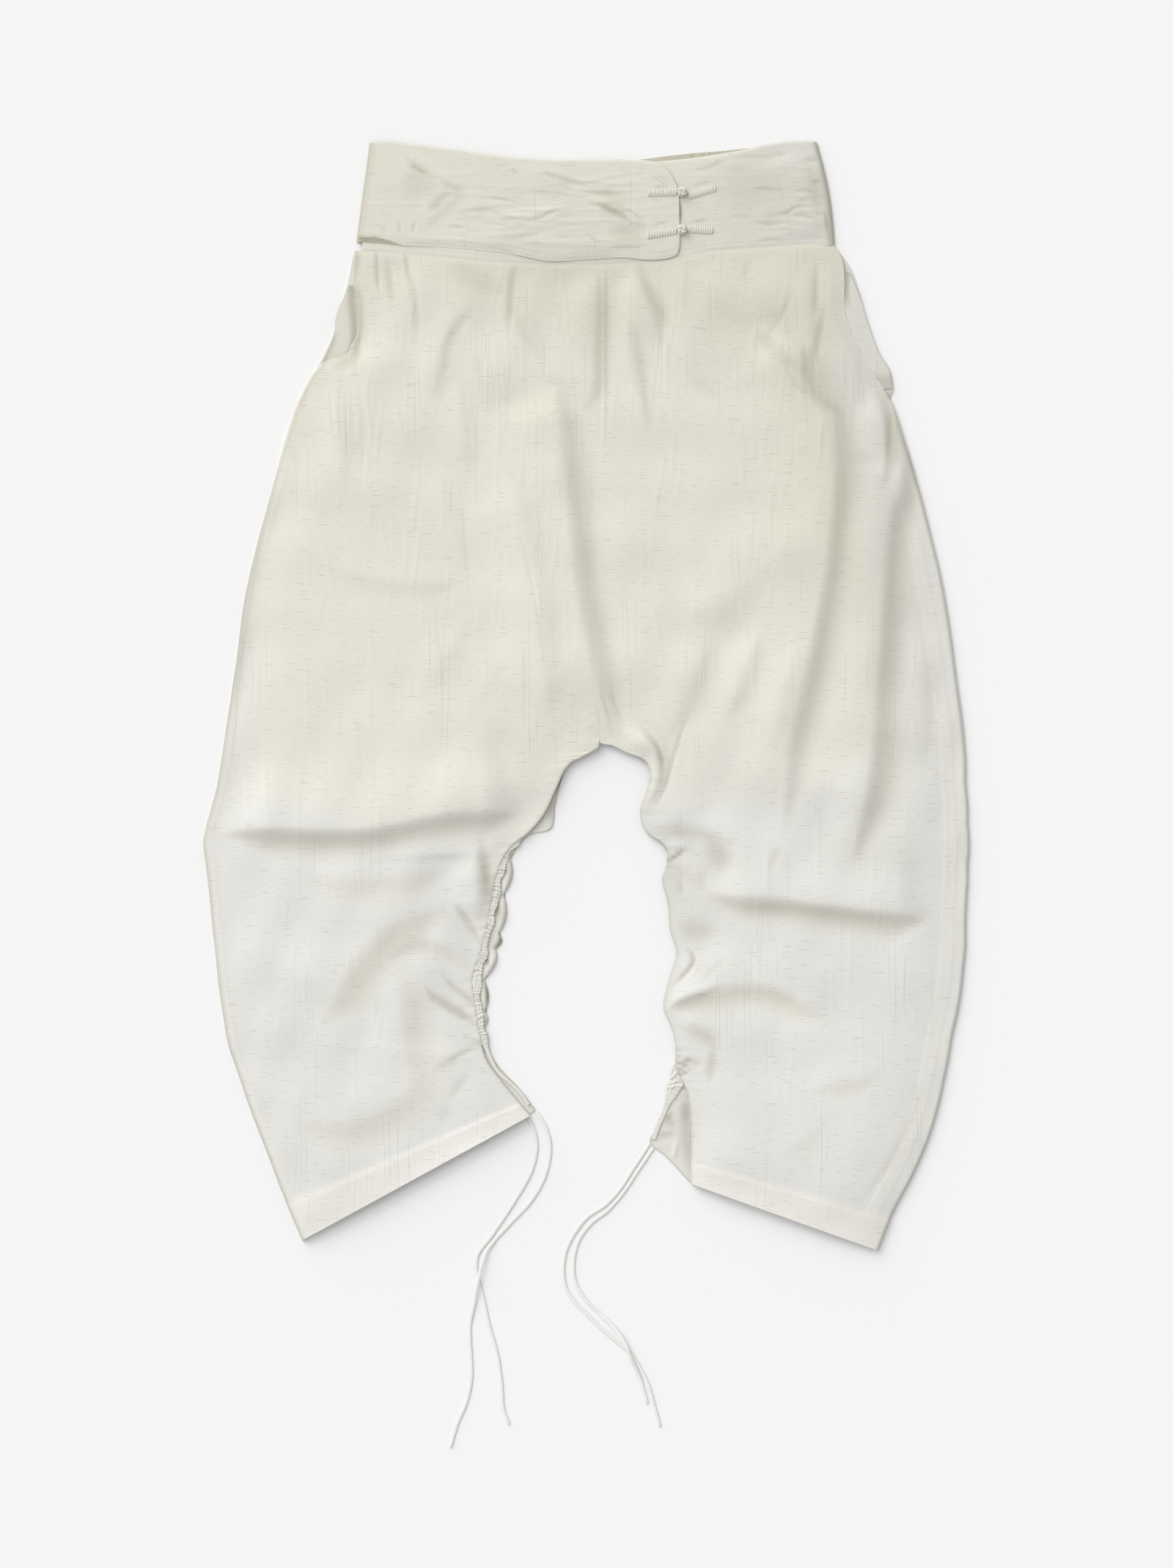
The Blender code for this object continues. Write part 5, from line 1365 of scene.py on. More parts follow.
# %% Waistband tables
Column = namedtuple("Column", "top_x top_down bottom_x bottom_down")
FLAP_COLUMNS = [Column(*row) for row in (
    (-194, 3, -206, 92), (-182, 1, -196, 92), (-157, 4, -165, 95), (-118, 9, -124, 97),
    (-65, 16, -65, 103), (-35, 18, -35, 109), (1, 18, 1, 108), (34, 18, 34, 106), (57, 19, 57, 108),
    (70, 23, 72, 107), (77, 31, 79, 105), (82, 40, 83, 102), (84, 49, 85, 96),
)]
BAND_RIGHT_COLUMNS = [Column(*row) for row in (
    (-187, 6, -202, 100), (-157, 8, -157, 103), (-98, 16, -98, 109), (-35, 21, -35, 112),
    (17, 21, 17, 112),
)]
BAND_LEFT_COLUMNS = [Column(*row) for row in (
    (17, 21, 17, 112), (57, 20, 54, 109), (83, 18, 83, 106), (107, 15, 107, 101), (143, 9, 146, 98),
    (166, 4, 186, 95), (199, 1, 212, 94), (208, 2, 224, 97),
)]
BAND_BACK_COLUMNS = [Column(*row) for row in (
    (-187, 9, -200, 100), (-157, 10, -157, 103), (-98, 17, -98, 109), (-35, 21, -35, 112),
    (17, 20, 17, 112), (47, 18, 47, 109), (70, 15, 70, 106), (97, 12, 97, 104), (123, 10, 123, 100),
    (143, 8, 146, 98), (166, 7, 186, 95), (202, 5, 217, 96),
)]
FLAP_FOLDS = [Fold(*row) for row in (
    (0.9, 14, 6, [(-166, 8), (-140, 26), (-118, 44), (-134, 62), (-150, 84)]),
    (0.9, 12, 6, [(-62, 24), (-40, 30), (-22, 34), (-8, 39)]),
    (1.3, 9, 5, [(4, 52), (18, 57), (32, 62), (46, 72), (52, 84)]),
    (0.9, 12, 6, [(-90, 66), (-60, 70), (-34, 66), (-12, 60)]),
    (0.6, 7, 4, [(60, 92), (20, 94), (-30, 93), (-70, 88), (-110, 85)]),
)]
BAND_FOLDS = [Fold(*row) for row in (
    (1.6, 26, 9, [(184, 4), (194, 40), (202, 66), (210, 92)]),
    (0.7, 12, 6, [(150, 24), (132, 22), (116, 16), (100, 18)]),
    (0.7, 10, 5, [(200, 66), (186, 62), (164, 66), (146, 74)]),
)]
print("folds of the band:", len(FLAP_FOLDS) + len(BAND_FOLDS))

# %% [markdown]
# A band's grid runs along it from column to column, and from its top fold down to its foot. At
# the wearer's left side the band bows out a little, because it goes round to the back there.

# %% Grid of a band
BAND_STEP = 1.2
BAND_BOW = 3.2
BOW_START = 165.0
BOW_RUN = 45.0


def band_places(columns, on_seam):
    """Fine grid of a band: rows run along it, columns run from its top to its foot."""
    table = np.asarray(columns, float)
    stations = run_lengths(table[:, 0], table[:, 1])
    at = np.linspace(0.0, stations[-1], even_steps(stations[-1], BAND_STEP) + 1)
    top_x, top_down, foot_x, foot_down = [smooth_line(stations, column, at) for column in table.T]
    if on_seam:
        foot_down = waist_seam(foot_x) - 0.5 * SEAM_GAP
    height = np.hypot(foot_x - top_x, foot_down - top_down)
    tallest = float(height.max())
    shares = np.linspace(0.0, 1.0, even_steps(tallest, BAND_STEP) + 1)[:, None]
    x = top_x * (1 - shares) + foot_x * shares
    x = x + BAND_BOW * eased((x - BOW_START) / BOW_RUN) * np.sin(math.pi * shares)
    down = top_down * (1 - shares) + foot_down * shares
    from_top = shares * height
    width = np.full((len(shares), 1), stations[-1])
    along = at + 0.0 * x
    return Places(x, down, shares * tallest, shares, width, along, width - along,
                  from_top, height - from_top)


flap_places = band_places(FLAP_COLUMNS, False)
print("the flap's grid has", flap_places.x.shape[0], "by", flap_places.x.shape[1], "places")

# %% [markdown]
# Each layer of the band starts from the same looks: a rounded fold at the top, a row of stitches
# near the foot, wrinkles, and painted shade in its spots and hollows and along its turned end,
# where it has one. Then it gets what is its own. The flap's foot is pressed down in the middle,
# and a painted shadow, a little warm, marks the gap under its turned end. The left layer is
# paler towards the side and gets a little painted shade there. The back one is bunched by its
# elastic, and gets painted shade on its inner side and painted light and shade that follow the
# bunches.

# %% Own looks of each layer
FLAP_FOOT = [(-210, 0.4), (-166, 0.5), (-136, 0.1), (-70, 0.1), (-58, 0.55), (-30, 0.55), (-10, 0.25),
             (20, 0.3), (34, 0.65), (90, 0.75)]
FLAP_GAP = [(-207, 87.2), (-189, 87.2), (-184, 88.4), (-177, 90.4), (-167, 94.0), (-158, 97.0),
            (-140, 110.0)]
FOOT_REACH = 6.5
GAP_DEPTH = 0.5
# Painted shadow in the gap under the flap's turned end, and painted shade on the back's inner side
GAP_PAINTED_SHADOW = 0.40
INNER_SIDE_PAINTED_SHADE = 0.29
ELASTIC_START = 98.0
ELASTIC_END = 148.0
Layer = namedtuple("Layer", "under top lined dulled")


def press_flap(places, layer):
    """The flap's foot lies low except where it stands open, and a painted shadow, a little warm, marks the
    gap under its turned end.
    """
    edge = np.asarray(FLAP_FOOT, float).T
    gap = np.asarray(FLAP_GAP, float).T
    pressed = 1.0 - np.interp(places.x, edge[0], edge[1])
    pressed = pressed * (1.0 - eased(places.from_hem / FOOT_REACH))
    in_gap = eased((places.down - np.interp(places.x, gap[0], gap[1])) / 0.8)
    return Layer(layer.under - 0.25 * pressed, layer.top - 1.75 * pressed - GAP_DEPTH * in_gap,
                 layer.lined + 0.1 * in_gap, layer.dulled * (1.0 - in_gap) + GAP_PAINTED_SHADOW * in_gap)


def thin_foot(places, layer):
    """A layer's foot is sewn down, so it gets thinner there."""
    return layer._replace(top=layer.top - 0.35 * (1.0 - eased(places.from_hem / 5.0)))


def pale_side(places, layer):
    """Towards the side the band holds no lining, so it looks cooler there; it also gets a little painted
    shade.
    """
    layer = thin_foot(places, layer)
    return layer._replace(lined=layer.lined - 0.45 * eased((places.x - 90.0) / 90.0),
                          dulled=layer.dulled + 0.02 * eased((places.x - 90.0) / 60.0))


def bunch_back(places, layer):
    """The inner side of the back gets painted shade and a thin painted dark line, and elastic bunches it
    between two lines, with painted light and shade that follow the bunches.
    """
    bunched = eased((places.x - ELASTIC_START) / 8.0) * eased((ELASTIC_END - places.x) / 6.0)
    waves = np.sin(places.x * 1.5 + 1.2 * np.sin(places.x * 0.37))
    dulled = layer.dulled + INNER_SIDE_PAINTED_SHADE - 0.05 * bunched * waves
    dulled = dulled + 0.12 * bell(places.x - 96.0, 1.0)
    return layer._replace(top=layer.top + bunched * (0.4 + 0.45 * waves), dulled=dulled)


OWN_LOOKS = {"waist_flap": press_flap, "waistband_front_right": thin_foot,
             "waistband_front_left": pale_side, "waistband_back": bunch_back}
print("layers of the band:", list(OWN_LOOKS))

# %% Make the bands
BAND_CLOTH = 1.6
BAND_BACK_CLOTH = 1.4
WAIST_LOW = 2.0
FLAP_LOW = 3.9
BAND_ROLL = 5.0
TOP_ROLL = 2.5
TOP_FOLD_DROP = 0.6
TOP_FIRM = 6.0
FOOT_FIRM = 5.0
LEAST_LIFT = 0.35
BAND_FOLD_END = 18.0
STITCH_ROW = 5.5
STITCH_GROOVE = 0.25
CRINKLED_BAND = [(50, -70, 24, 60), (40, 30, 20, 30), (62, 0, 24, 60), (55, 170, 28, 30), (40, -20, 22, 70),
                 (75, -40, 14, 70)]
BAND_CRINKLES = 150
BAND_LINED = 0.9
# Painted shade along the turned end of the flap and of the left layer
SIDE_PAINTED_SHADE = {"first": 0.36, "last": 0.28}
SIDE_SHADE_REACH = 4.0
Band = namedtuple("Band", "columns low thickness folds hollows rolled on_seam seed swell")
BANDS = {
    "waistband_back": Band(BAND_BACK_COLUMNS, 0.0, BAND_BACK_CLOTH, [], [], "", True, 31, 0.1),
    "waistband_front_right": Band(BAND_RIGHT_COLUMNS, WAIST_LOW, BAND_CLOTH, [], [], "", True, 32, 0.1),
    "waistband_front_left": Band(BAND_LEFT_COLUMNS, WAIST_LOW, BAND_CLOTH, BAND_FOLDS, BAND_HOLLOWS,
                                 "last", True, 33, 0.25),
    "waist_flap": Band(FLAP_COLUMNS, FLAP_LOW, BAND_CLOTH, FLAP_FOLDS, FLAP_HOLLOWS,
                       "first", False, 34, 0.25),
}


def band_relief(places, band):
    """Wrinkles of a band and the painted shade of its spots and hollows; its crinkles run along it."""
    relief = swells(places.x, places.down, band.swell, band.seed)
    relief = relief + crinkles(places.down, places.x, CRINKLED_BAND, BAND_CRINKLES, band.seed + 9)
    dulled = painted_light_and_shade(places.x, places.down)
    for fold in band.folds:
        relief = relief + fold_height(fold, places.x, places.down, BAND_FOLD_END)[0]
    for hollow in band.hollows:
        share = hollow_share(hollow, places.x, places.down)
        relief = relief - hollow.depth * share
        dulled = dulled + hollow.shade * share
    return relief, dulled


def make_band(name, band):
    places = band_places(band.columns, band.on_seam)
    relief, dulled = band_relief(places, band)
    firm = (1.0 - np.exp(-places.from_waist / TOP_FIRM)) * (1.0 - np.exp(-places.from_hem / FOOT_FIRM))
    lift = np.maximum(relief * firm + LEAST_LIFT, 0.0)
    top_drop = TOP_FOLD_DROP * (1.0 - rounded(places.from_waist, TOP_ROLL))
    under = np.maximum(band.low + lift - top_drop, 0.0)
    if band.rolled:
        from_end = places.from_outer if band.rolled == "first" else places.from_inner
        under = SEAM_GAP + (under - SEAM_GAP) * rounded(from_end, BAND_ROLL)
        dulled = dulled + SIDE_PAINTED_SHADE[band.rolled] * bell(from_end, SIDE_SHADE_REACH)
    top = under + band.thickness - STITCH_GROOVE * bell(places.from_hem - STITCH_ROW, 1.1)
    layer = OWN_LOOKS[name](places, Layer(under, top, BAND_LINED + 0.0 * under, dulled))
    marks = {"doubled": 0.0 * top, "lined": layer.lined, "dulled": layer.dulled}
    uv = np.stack([places.from_outer, places.from_waist], axis=-1) * MM
    piece = make_shell(name + "_cloth", places.x, places.down, layer.top, layer.under,
                       band_cloth, uv, marks)
    declare_cloth(name, places)


for name, band in BANDS.items():
    make_band(name, band)

# %% [markdown]
# ## Backs, linings and pocket facings
# These lie under the fronts. The backs rest on the table, so they are pressed flat, except beside
# the drawstring channels: there a back's edge is longer than the channel that holds it, so it
# bulges out in a row of rounded lobes, with painted shade behind each. Between two lobes the
# channel pulls the edge back in. The open edges and the hollows of the backs get painted shade too.

# %% Lobes of the backs
Lobe = namedtuple("Lobe", "start end rise hollow")
# Each lobe: where it starts and ends, how high it rises, and how much painted shade lies behind it
LOBES = {
    "back_right": [Lobe(643, 678, 2.6, 0.05), Lobe(680, 713, 2.4, 0.10), Lobe(715, 727, 1.9, 0.12),
                   Lobe(729, 754, 1.7, 0.06), Lobe(757, 783, 1.6, 0.08), Lobe(784, 800, 1.2, 0.08)],
    "back_left": [Lobe(826, 842, 1.2, 0.10), Lobe(843, 858, 1.4, 0.12), Lobe(872, 884, 1.0, 0.05)],
}
LOBE_RIM = 3.4
LOBE_SHADE_PLACE = 7.5
LOBE_PULL = {"back_right": 4.0}
PULLED_EDGE = (640.0, 806.0)
PULL_REACH = 7.0
BACK_EDGE_PAINTED_SHADE = 0.30
BACK_EDGE_SHADE_REACH = 1.8


def back_lobes(name, places):
    """Rise and painted shade of a back's lobes, open edge and hollows, and the pull between the lobes."""
    rise = np.zeros(places.x.shape)
    shade = np.zeros(places.x.shape)
    within = eased((places.down - PULLED_EDGE[0]) / 8.0) * eased((PULLED_EDGE[1] - places.down) / 8.0)
    pull = LOBE_PULL.get(name, 0.0) * within
    for number, lobe in enumerate(LOBES.get(name, [])):
        part = np.clip((places.down - lobe.start) / (lobe.end - lobe.start), 0.0, 1.0)
        swell = np.sin(math.pi * part) ** 0.7
        pull = pull * (1.0 - swell)
        lean = 1.0 + 0.3 * math.sin(2.4 * number)
        rim = bell(places.from_inner - LOBE_RIM, LOBE_RIM * lean)
        rise += lobe.rise * swell * rim * (1.0 + 0.12 * np.sin(places.down * 1.9 + places.from_inner))
        shade += lobe.hollow * swell * bell(places.from_inner - LOBE_SHADE_PLACE, 2.4)
    open_edge = np.clip(places.order - CROTCH_SECTION[name], 0.0, 1.0)
    shade += BACK_EDGE_PAINTED_SHADE * open_edge * bell(places.from_inner, BACK_EDGE_SHADE_REACH)
    for hollow in BACK_HOLLOWS:
        share = hollow_share(hollow, places.x, places.down)
        rise -= hollow.depth * share
        shade += hollow.shade * share
    return rise, shade, -pull * np.exp(-places.from_inner / PULL_REACH)


print("lobes of the backs:", sum(len(lobes) for lobes in LOBES.values()))

# %% [markdown]
# Slivers of the pocket facings and of the backs show outside the slanted pocket mouths. The
# facing stands up there and falls steeply into the mouth, whose darkness is painted shade, and the
# whole facing gets a little painted shade as well. Its outer edge bulges out a little past the back.

# %% Pocket facings
Facing = namedtuple("Facing", "rise fall_from fall_to start end shade dull")
# Each facing: its rise, the two distances between which it falls into the mouth, where that runs down, the
# painted shade in the mouth, and the painted shade over the whole facing
FACINGS = {"pocket_facing_right": Facing(2.0, 2.0, 22.0, 116.0, 212.0, 0.15, 0.05),
           "pocket_facing_left": Facing(0.5, 9.0, 17.0, 108.0, 156.0, 0.36, 0.09)}
FACING_BULGE = {"pocket_facing_right": -3.2, "pocket_facing_left": 1.7}


def facing_shape(name, places):
    """Rise and painted shade of a facing, and how far its edge bulges out."""
    facing = FACINGS[name]
    down = places.down
    within = eased((down - facing.start) / 10.0) * eased((facing.end - down) / 22.0)
    middle = 0.5 * (facing.fall_from + facing.fall_to)
    rise = facing.rise * within * eased((places.from_inner - middle) / 6.0)
    shade = facing.shade * within * eased((facing.fall_to - places.from_inner) / 6.0) + facing.dull
    if name == "pocket_facing_right":
        shade = shade + 0.22 * eased((down - 168.0) / 14.0) * bell(places.from_outer, 3.2)
        bulge = bell(down - 158.0, 20.0) * bell(places.from_outer, 12.0)
    else:
        shade = shade + 0.2 * eased((down - 206.0) / 12.0)
        bulge = np.exp(-((down - 165.0) / 60.0) ** 4) * bell(places.from_outer, 10.0)
    return rise, shade, FACING_BULGE[name] * bulge


print("facings:", list(FACINGS))

# %% [markdown]
# A lining is the same grid with coarser steps, since the fronts hide it.

# %% Make the lower layers
BACK_CLOTH = 1.2
LINING_CLOTH = 1.0
LINING_LOW = 1.5
UNEVEN = 0.12
LEAST_WALL = 0.4
Flat = namedtuple("Flat", "sections low thickness slot step hangs lined")
BACK = (0.0, BACK_CLOTH, "slub_cloth", 2.5, True, 0.2)
LINING = (LINING_LOW, LINING_CLOTH, "lining_cloth", 8.0, False, 1.0)
FACING = (LINING_LOW, LINING_CLOTH, "slub_cloth", 1.5, False)
FLATS = {
    "back_right": Flat(BACK_RIGHT_SECTIONS, *BACK),
    "back_left": Flat(BACK_LEFT_SECTIONS, *BACK),
    "lining_right": Flat(LINING_RIGHT_SECTIONS, *LINING),
    "lining_left": Flat(LINING_LEFT_SECTIONS, *LINING),
    "pocket_facing_right": Flat(FACING_RIGHT_SECTIONS, *FACING, 0.9),
    "pocket_facing_left": Flat(FACING_LEFT_SECTIONS, *FACING, 0.25),
}


def make_flat(name, flat):
    crotch = CROTCH_SECTION.get(name, -1)
    places = spread_places(flat.sections, crotch, 0.8 * flat.step, flat.step, flat.hangs)
    top = flat.low + flat.thickness + UNEVEN * (swells(places.x, places.down, 1.0, len(name)) - 1.0)
    shape = facing_shape if name in FACINGS else back_lobes
    rise, shade, shift = shape(name, places)
    under = flat.low + np.maximum(rise - LEAST_WALL, 0.0)
    top = top + rise
    marks = {"lined": flat.lined + 0.0 * top, "doubled": 0.0 * top, "dulled": shade}
    uv = np.stack([places.x, places.down], axis=-1) * MM
    piece = make_shell(name + "_cloth", places.x + shift, places.down, top, under, slub_cloth, uv, marks)
    declare_cloth(name, places)


for name, flat in FLATS.items():
    make_flat(name, flat)

# %% [markdown]
# ## Drawstring channels
# Each drawstring runs in a narrow channel that is stitched along both sides. The string is
# shorter than the cloth, so the channel bunches up into many small uneven puffs, and near the
# hem, where the cloth is hardly gathered, it becomes a plain narrow strip.
#
# The channel follows a route of its own along the leg's inner edge. Across it, the height is a
# low arch with a groove at each row of stitches. Along it, a wave of changing length makes the
# puffs, and a slower one swings the whole channel in and out a little.

# %% Channel tables
UNDERLAP = 3.5
Channel = namedtuple(
    "Channel", "half_width bed rise wave pucker slant fullness plain_from front_side route")
CHANNELS = {
    "casing_right": Channel(3.4, 1.5, 1.0, 3.3, 0.45, 0.6, 1.35, 800.0, -1, [
        (-52, 622), (-63, 632), (-71, 642), (-76, 657), (-79, 670), (-81, 682), (-84, 695), (-87, 708),
        (-90, 719), (-92, 732), (-95, 744), (-97, 758), (-97.5, 772), (-96, 785), (-94, 797), (-91, 809),
        (-88, 820), (-83, 831), (-78, 839), (-69, 847), (-58, 858), (-51, 868)]),
    "casing_left": Channel(4.6, 1.25, 0.7, 5.0, 0.42, 3.2, 1.1, 850.0, 1, [
        (83, 826), (81, 840), (77, 856), (72, 872), (66, 886), (61, 899)]),
}
ACROSS = np.linspace(-1.0, 1.0, 16)
LINE_STEP = 0.5
Line = namedtuple("Line", "x down square_x square_down steps along")


def channel_line(channel):
    """A channel's middle line in even steps, and the direction that is square to it."""
    route = smooth_route(channel.route, LINE_STEP)
    at = np.linspace(0.0, 1.0, even_steps(len(route), 1.0) + 1) * (len(route) - 1)
    x = np.interp(at, np.arange(len(route)), route[:, 0])
    down = np.interp(at, np.arange(len(route)), route[:, 1])
    run_x, run_down = np.gradient(x), np.gradient(down)
    steps = np.hypot(run_x, run_down)
    return Line(x[:, None], down[:, None], (run_down / steps)[:, None], -(run_x / steps)[:, None],
                steps[:, None], np.cumsum(steps)[:, None])


for name, channel in CHANNELS.items():
    print(name, "follows a line of", round(float(channel_line(channel).along[-1, 0])), "mm")

# %% [markdown]
# No two puffs are alike. Waves of different lengths are added, and each starts at a place that a
# seeded source of chance picks. The lag makes the puffs lie aslant across the channel, as they do
# where a string pulls one side more than the other.

# %% Waves along a channel
Waves = namedtuple("Waves", "turn slow puff uneven stitches")


def swing(along, length, phase):
    """One wave along a channel, with its length in mm and its start."""
    return np.sin(2 * math.pi * along / length + phase)


def channel_waves(channel, line, seed):
    """Everything that changes along a channel, worked out for each of its points."""
    along = line.along
    phase = np.random.default_rng(seed).uniform(0.0, 2 * math.pi, 6)
    wave = channel.wave * (1.0 + 0.3 * swing(along, 41.0, phase[0]) + 0.25 * swing(along, 13.0, phase[5]))
    turn = 2 * math.pi * np.cumsum(line.steps / wave, axis=0)
    slow = swing(along, 27.0, phase[1]) + 0.6 * swing(along, 15.0, phase[2])
    lag = ACROSS * (channel.slant + 1.5 * swing(along, 33.0, phase[3]) + swing(along, 9.0, phase[1]))
    puff = np.sin(turn + lag) + 0.5 * np.sin(2.3 * turn - lag + phase[4])
    puff = puff + 0.4 * np.sin(0.43 * turn + phase[5])
    uneven = 0.55 + 0.45 * swing(along, 19.0, phase[4] + 1.3 * np.sin(along / 7.0))
    uneven = uneven * (1.0 + 0.45 * swing(along, 11.0, 3.0 * ACROSS + phase[2]))
    stitches = bell(np.abs(ACROSS) - 0.35 - 0.12 * np.sin(along / 8.0 + phase[0]), 0.13)
    return Waves(turn, slow, puff, uneven, stitches)


print("points across a channel:", len(ACROSS))

# %% [markdown]
# The channel's outer edge is open to view and rounded. Its other edge runs under the front, so it
# is wider and stays low there. The wall is thin, and never sinks below the layer it lies on.

# %% Make the channels
PLAIN_RUN = 22.0
EDGE_SHARE = 0.7
SUNK_SHARE = 0.65
STITCH_DEPTH = 0.45
PUFF_WALL = 1.4
THINNEST = 0.5
CLOTH_TAKEN_UP = 1.6


def channel_offsets(channel, waves, narrow, gathered):
    """How far each point lies from the middle line."""
    swayed = gathered * (0.7 * waves.slow + 0.45 * waves.puff * ACROSS)
    past_edge = np.clip((channel.front_side * ACROSS - EDGE_SHARE) / (1.0 - EDGE_SHARE), 0.0, 1.0)
    offsets = channel.half_width * narrow * ACROSS + swayed
    return offsets + channel.front_side * UNDERLAP * gathered * past_edge


def channel_heights(channel, line, waves, gathered):
    """Upper and lower side: an arch with puffs on it, and grooves at the stitches."""
    toward_front = channel.front_side * ACROSS
    open_side = np.sqrt(np.clip(1.0 + toward_front ** 3, 0.0, 1.0))
    sunk = (1.0 - SUNK_SHARE * gathered) * np.clip(toward_front, 0.0, 1.0) ** 4
    arch = np.where(toward_front > 0, 1.0 - sunk, open_side)
    ends = eased(line.along / 6.0) * eased((line.along[-1] - line.along) / 6.0)
    rise = channel.rise * (0.1 + 0.9 * gathered) * arch * (0.4 + 0.6 * ends)
    puffs = channel.pucker * gathered * waves.puff * (0.3 + 0.7 * arch) * waves.uneven
    top = channel.bed + CLOTH + rise + puffs - STITCH_DEPTH * waves.stitches * gathered
    low = np.maximum(top - PUFF_WALL, channel.bed)
    return np.maximum(top, low + THINNEST), low


def channel_marks(channel, waves, gathered):
    """How doubled a channel looks; its warm tone, painted warmer in the valleys and cooler on the puffs; and
    its painted shade in the valleys, at the stitches and along the open edge.
    """
    valley_shade = 0.03 * gathered * np.clip(-waves.puff, 0.0, 1.0)
    stitch_shade = 0.05 * waves.stitches * gathered * (0.5 + 0.5 * np.sin(waves.turn * 1.7))
    at_edge = eased((-channel.front_side * ACROSS - EDGE_SHARE) / (1.0 - EDGE_SHARE))
    shade = valley_shade + stitch_shade + 0.12 * at_edge * (1.0 - 0.7 * gathered)
    return {"doubled": 0.15 + 0.0 * shade, "lined": 0.3 - 0.2 * waves.puff, "dulled": shade}


def make_casing(name, channel, seed):
    line = channel_line(channel)
    waves = channel_waves(channel, line, seed)
    gathered = eased((channel.plain_from + PLAIN_RUN - line.down) / PLAIN_RUN)
    narrow = (0.4 + 0.6 * gathered) * (0.45 + 0.55 * eased(line.along / 22.0))
    offsets = channel_offsets(channel, waves, narrow, gathered)
    top, low = channel_heights(channel, line, waves, gathered)
    x = line.x + line.square_x * offsets
    down = line.down + line.square_down * offsets
    uv = np.stack([offsets, line.along * CLOTH_TAKEN_UP + 0.0 * offsets], axis=-1) * MM
    marks = channel_marks(channel, waves, gathered)
    piece = make_shell(name + "_cloth", x, down, top, low, band_cloth, uv, marks)
    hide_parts(name)


for seed, (name, channel) in enumerate(CHANNELS.items()):
    make_casing(name, channel, 41 + seed)

# %% [markdown]
# ## Frog closures
# A frog is a pair of cord bars sewn to the cloth, with a ball knot on one side and a loop round it
# on the other. Each bar is a cord wound tightly round a thin core, which leaves slanted glossy
# ribs. So each bar here is one long helix with a round cord, and each knot is a curve that
# crosses itself three times on a squashed ball.

# %% Frog tables
Bar = namedtuple("Bar", "name start_x start_down end_x end_down bed")
Knot = namedtuple("Knot", "name x down past_flap")
FLAP_TOP = FLAP_LOW + BAND_CLOTH
FROG_BARS = [
    Bar("frog_upper_loop", 56.0, 48.2, 82.0, 47.4, FLAP_TOP),
    Bar("frog_upper_bar", 92.0, 51.0, 117.5, 43.4, WAIST_LOW + BAND_CLOTH),
    Bar("frog_lower_loop", 55.5, 86.4, 82.0, 82.2, FLAP_TOP),
    Bar("frog_lower_bar", 92.0, 80.4, 114.5, 81.8, WAIST_LOW + BAND_CLOTH),
]
FROG_KNOTS = [Knot("frog_upper_knot", 86.8, 47.0, 2.9), Knot("frog_lower_knot", 86.8, 81.0, 1.6)]
FROG_IVORY = (0.66, 0.65, 0.59)
frog_cloth = cord_material("frog_cord", FROG_IVORY, 0.45, (1600.0, 240.0, 1.0), 0.00025)
print("frog pieces:", [part.name for part in FROG_BARS + FROG_KNOTS])

# %% [markdown]
# A bar or a knot is made of several tubes that belong to one piece. The helpers below make one
# closed tube with slimmer ends, and join some of them into one set of points and faces.

# %% Parts of a frog
FROG_SHARP = 80


def join_parts(parts):
    """Points, faces and UV map of several closed tubes as one."""
    points, faces, maps = [], [], []
    count = 0
    for part_points, part_faces, part_map in parts:
        points.append(part_points)
        maps.append(part_map)
        faces += [tuple(int(corner) + count for corner in face) for face in part_faces]
        count += len(part_points)
    return np.concatenate(points), faces, np.concatenate(maps)


def make_frog_piece(name, parts):
    """One closed piece from several tubes, in the place of its rigid node."""
    points, faces, uv = join_parts(parts)
    piece = make_mesh(name + "_cord", points, faces, frog_cloth, cloth_uv=uv, sharp=FROG_SHARP)
    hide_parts(name)


def cord_part(path, radius, sides, flat=1.0):
    """A tube along a path in metres, ready to be joined to others."""
    half = np.full(len(path), radius * MM)
    half[0] *= 0.5
    half[-1] *= 0.5
    rings = tube_along(path, sides, half, half * flat)
    along = np.concatenate(([0.0], np.cumsum(np.linalg.norm(np.diff(path, axis=0), axis=1))))
    turn = np.arange(sides) / sides * 2 * math.pi * radius * MM
    uv = np.stack(np.broadcast_arrays(turn[None, :], along[:, None]), axis=-1)
    return rings.reshape(-1, 3), tube_faces(len(path), sides), uv.reshape(-1, 2)


print("one cord part of 9 rings has", len(tube_faces(9, 8)), "faces")

# %% [markdown]
# The helix runs a little slanted, as the hand winds it, and it is flattened, because the bar is
# sewn down. A flat core fills its middle. The knot is a ball of cord whose path goes three times
# round while it sways four times in and out, and the loop lies round it like a horseshoe.

# %% Make the frogs
WRAPS = 11
RINGS_PER_WRAP = 14
BAR_RADIUS = 3.8
WRAP_RADIUS = 1.1
WRAP_REACH = BAR_RADIUS - 1.05
WRAP_SLANT = 0.9
WRAP_FLATNESS = 0.28
BAR_LIFT = 0.1
CORE_RADIUS = 2.4
CORE_RINGS = 9
KNOT_RADIUS = 4.6
KNOT_HEIGHT = 6.8
KNOT_CORD = 1.15
KNOT_CORE = 1.9
LOOP_CORD = 0.9
LOOP_LIFT = 1.2
LOOP_RINGS = 40
LOOP_OPENING = 0.9


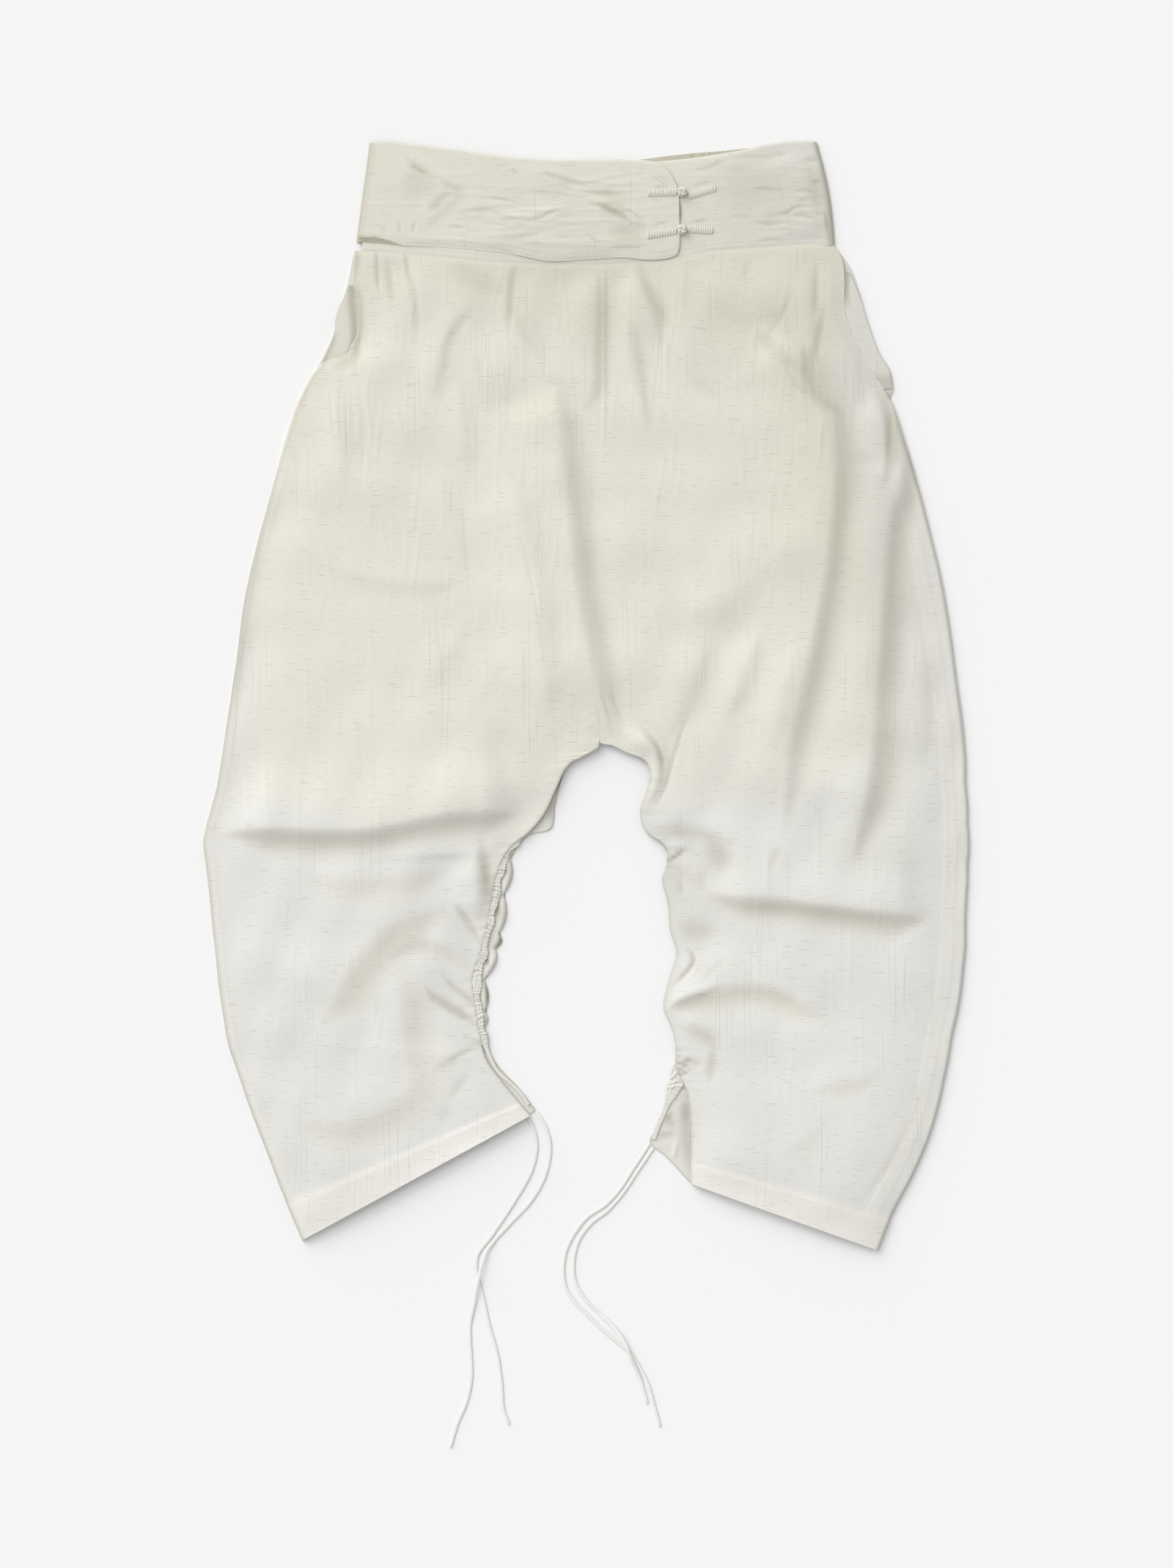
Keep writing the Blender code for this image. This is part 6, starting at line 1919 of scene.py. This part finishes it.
def make_frog_bar(bar):
    start = np.array([bar.start_x, bar.start_down])
    end = np.array([bar.end_x, bar.end_down])
    run = (end - start) / np.linalg.norm(end - start)
    share = np.linspace(0.0, 1.0, RINGS_PER_WRAP * WRAPS + 1)
    turn = 2 * math.pi * WRAPS * share
    sway = WRAP_REACH * np.cos(turn)
    slant = WRAP_SLANT * np.sin(turn)
    x = start[0] + (end[0] - start[0]) * share - run[1] * sway + run[0] * slant
    down = start[1] + (end[1] - start[1]) * share + run[0] * sway + run[1] * slant
    middle_z = bar.bed + BAR_LIFT
    z = middle_z + WRAP_FLATNESS * WRAP_REACH * np.sin(turn)
    core_share = np.linspace(0.0, 1.0, CORE_RINGS)
    core_x = start[0] + (end[0] - start[0]) * core_share
    core_down = start[1] + (end[1] - start[1]) * core_share
    core = to_metres(core_x, core_down, np.full(CORE_RINGS, middle_z))
    winding = cord_part(to_metres(x, down, z), WRAP_RADIUS, 8, 0.8)
    make_frog_piece(bar.name, [winding, cord_part(core, CORE_RADIUS, 8, 0.5)])


def make_frog_knot(knot):
    rise = 0.5 * KNOT_HEIGHT * math.sqrt(1.0 - (knot.past_flap / KNOT_RADIUS) ** 2)
    centre_z = FLAP_TOP + SEAM_GAP + 0.55 * rise
    turn = np.linspace(0.0, 2 * math.pi, 181)[:-1]
    ring = 2.3 + 1.3 * np.cos(4 * turn)
    x = knot.x + ring * np.cos(3 * turn)
    down = knot.down + ring * np.sin(3 * turn)
    z = centre_z + 1.5 * np.sin(4 * turn)
    path = np.concatenate([to_metres(x, down, z), to_metres(x[:1], down[:1], z[:1])])
    loop_turn = np.linspace(LOOP_OPENING, 2 * math.pi - LOOP_OPENING, LOOP_RINGS)
    loop_x = knot.x - 0.6 - 4.4 * np.cos(loop_turn)
    loop_down = knot.down + 3.1 * np.sin(loop_turn)
    loop = to_metres(loop_x, loop_down, np.full(LOOP_RINGS, FLAP_TOP + LOOP_LIFT))
    middle = to_metres([knot.x - 1.5, knot.x, knot.x + 1.5], [knot.down] * 3, [centre_z] * 3)
    parts = [cord_part(path, KNOT_CORD, 8), cord_part(loop, LOOP_CORD, 8), cord_part(middle, KNOT_CORE, 10)]
    make_frog_piece(knot.name, parts)


for bar in FROG_BARS:
    make_frog_bar(bar)
for knot in FROG_KNOTS:
    make_frog_knot(knot)
print("frogs:", len(FROG_BARS), "bars and", len(FROG_KNOTS), "knots")
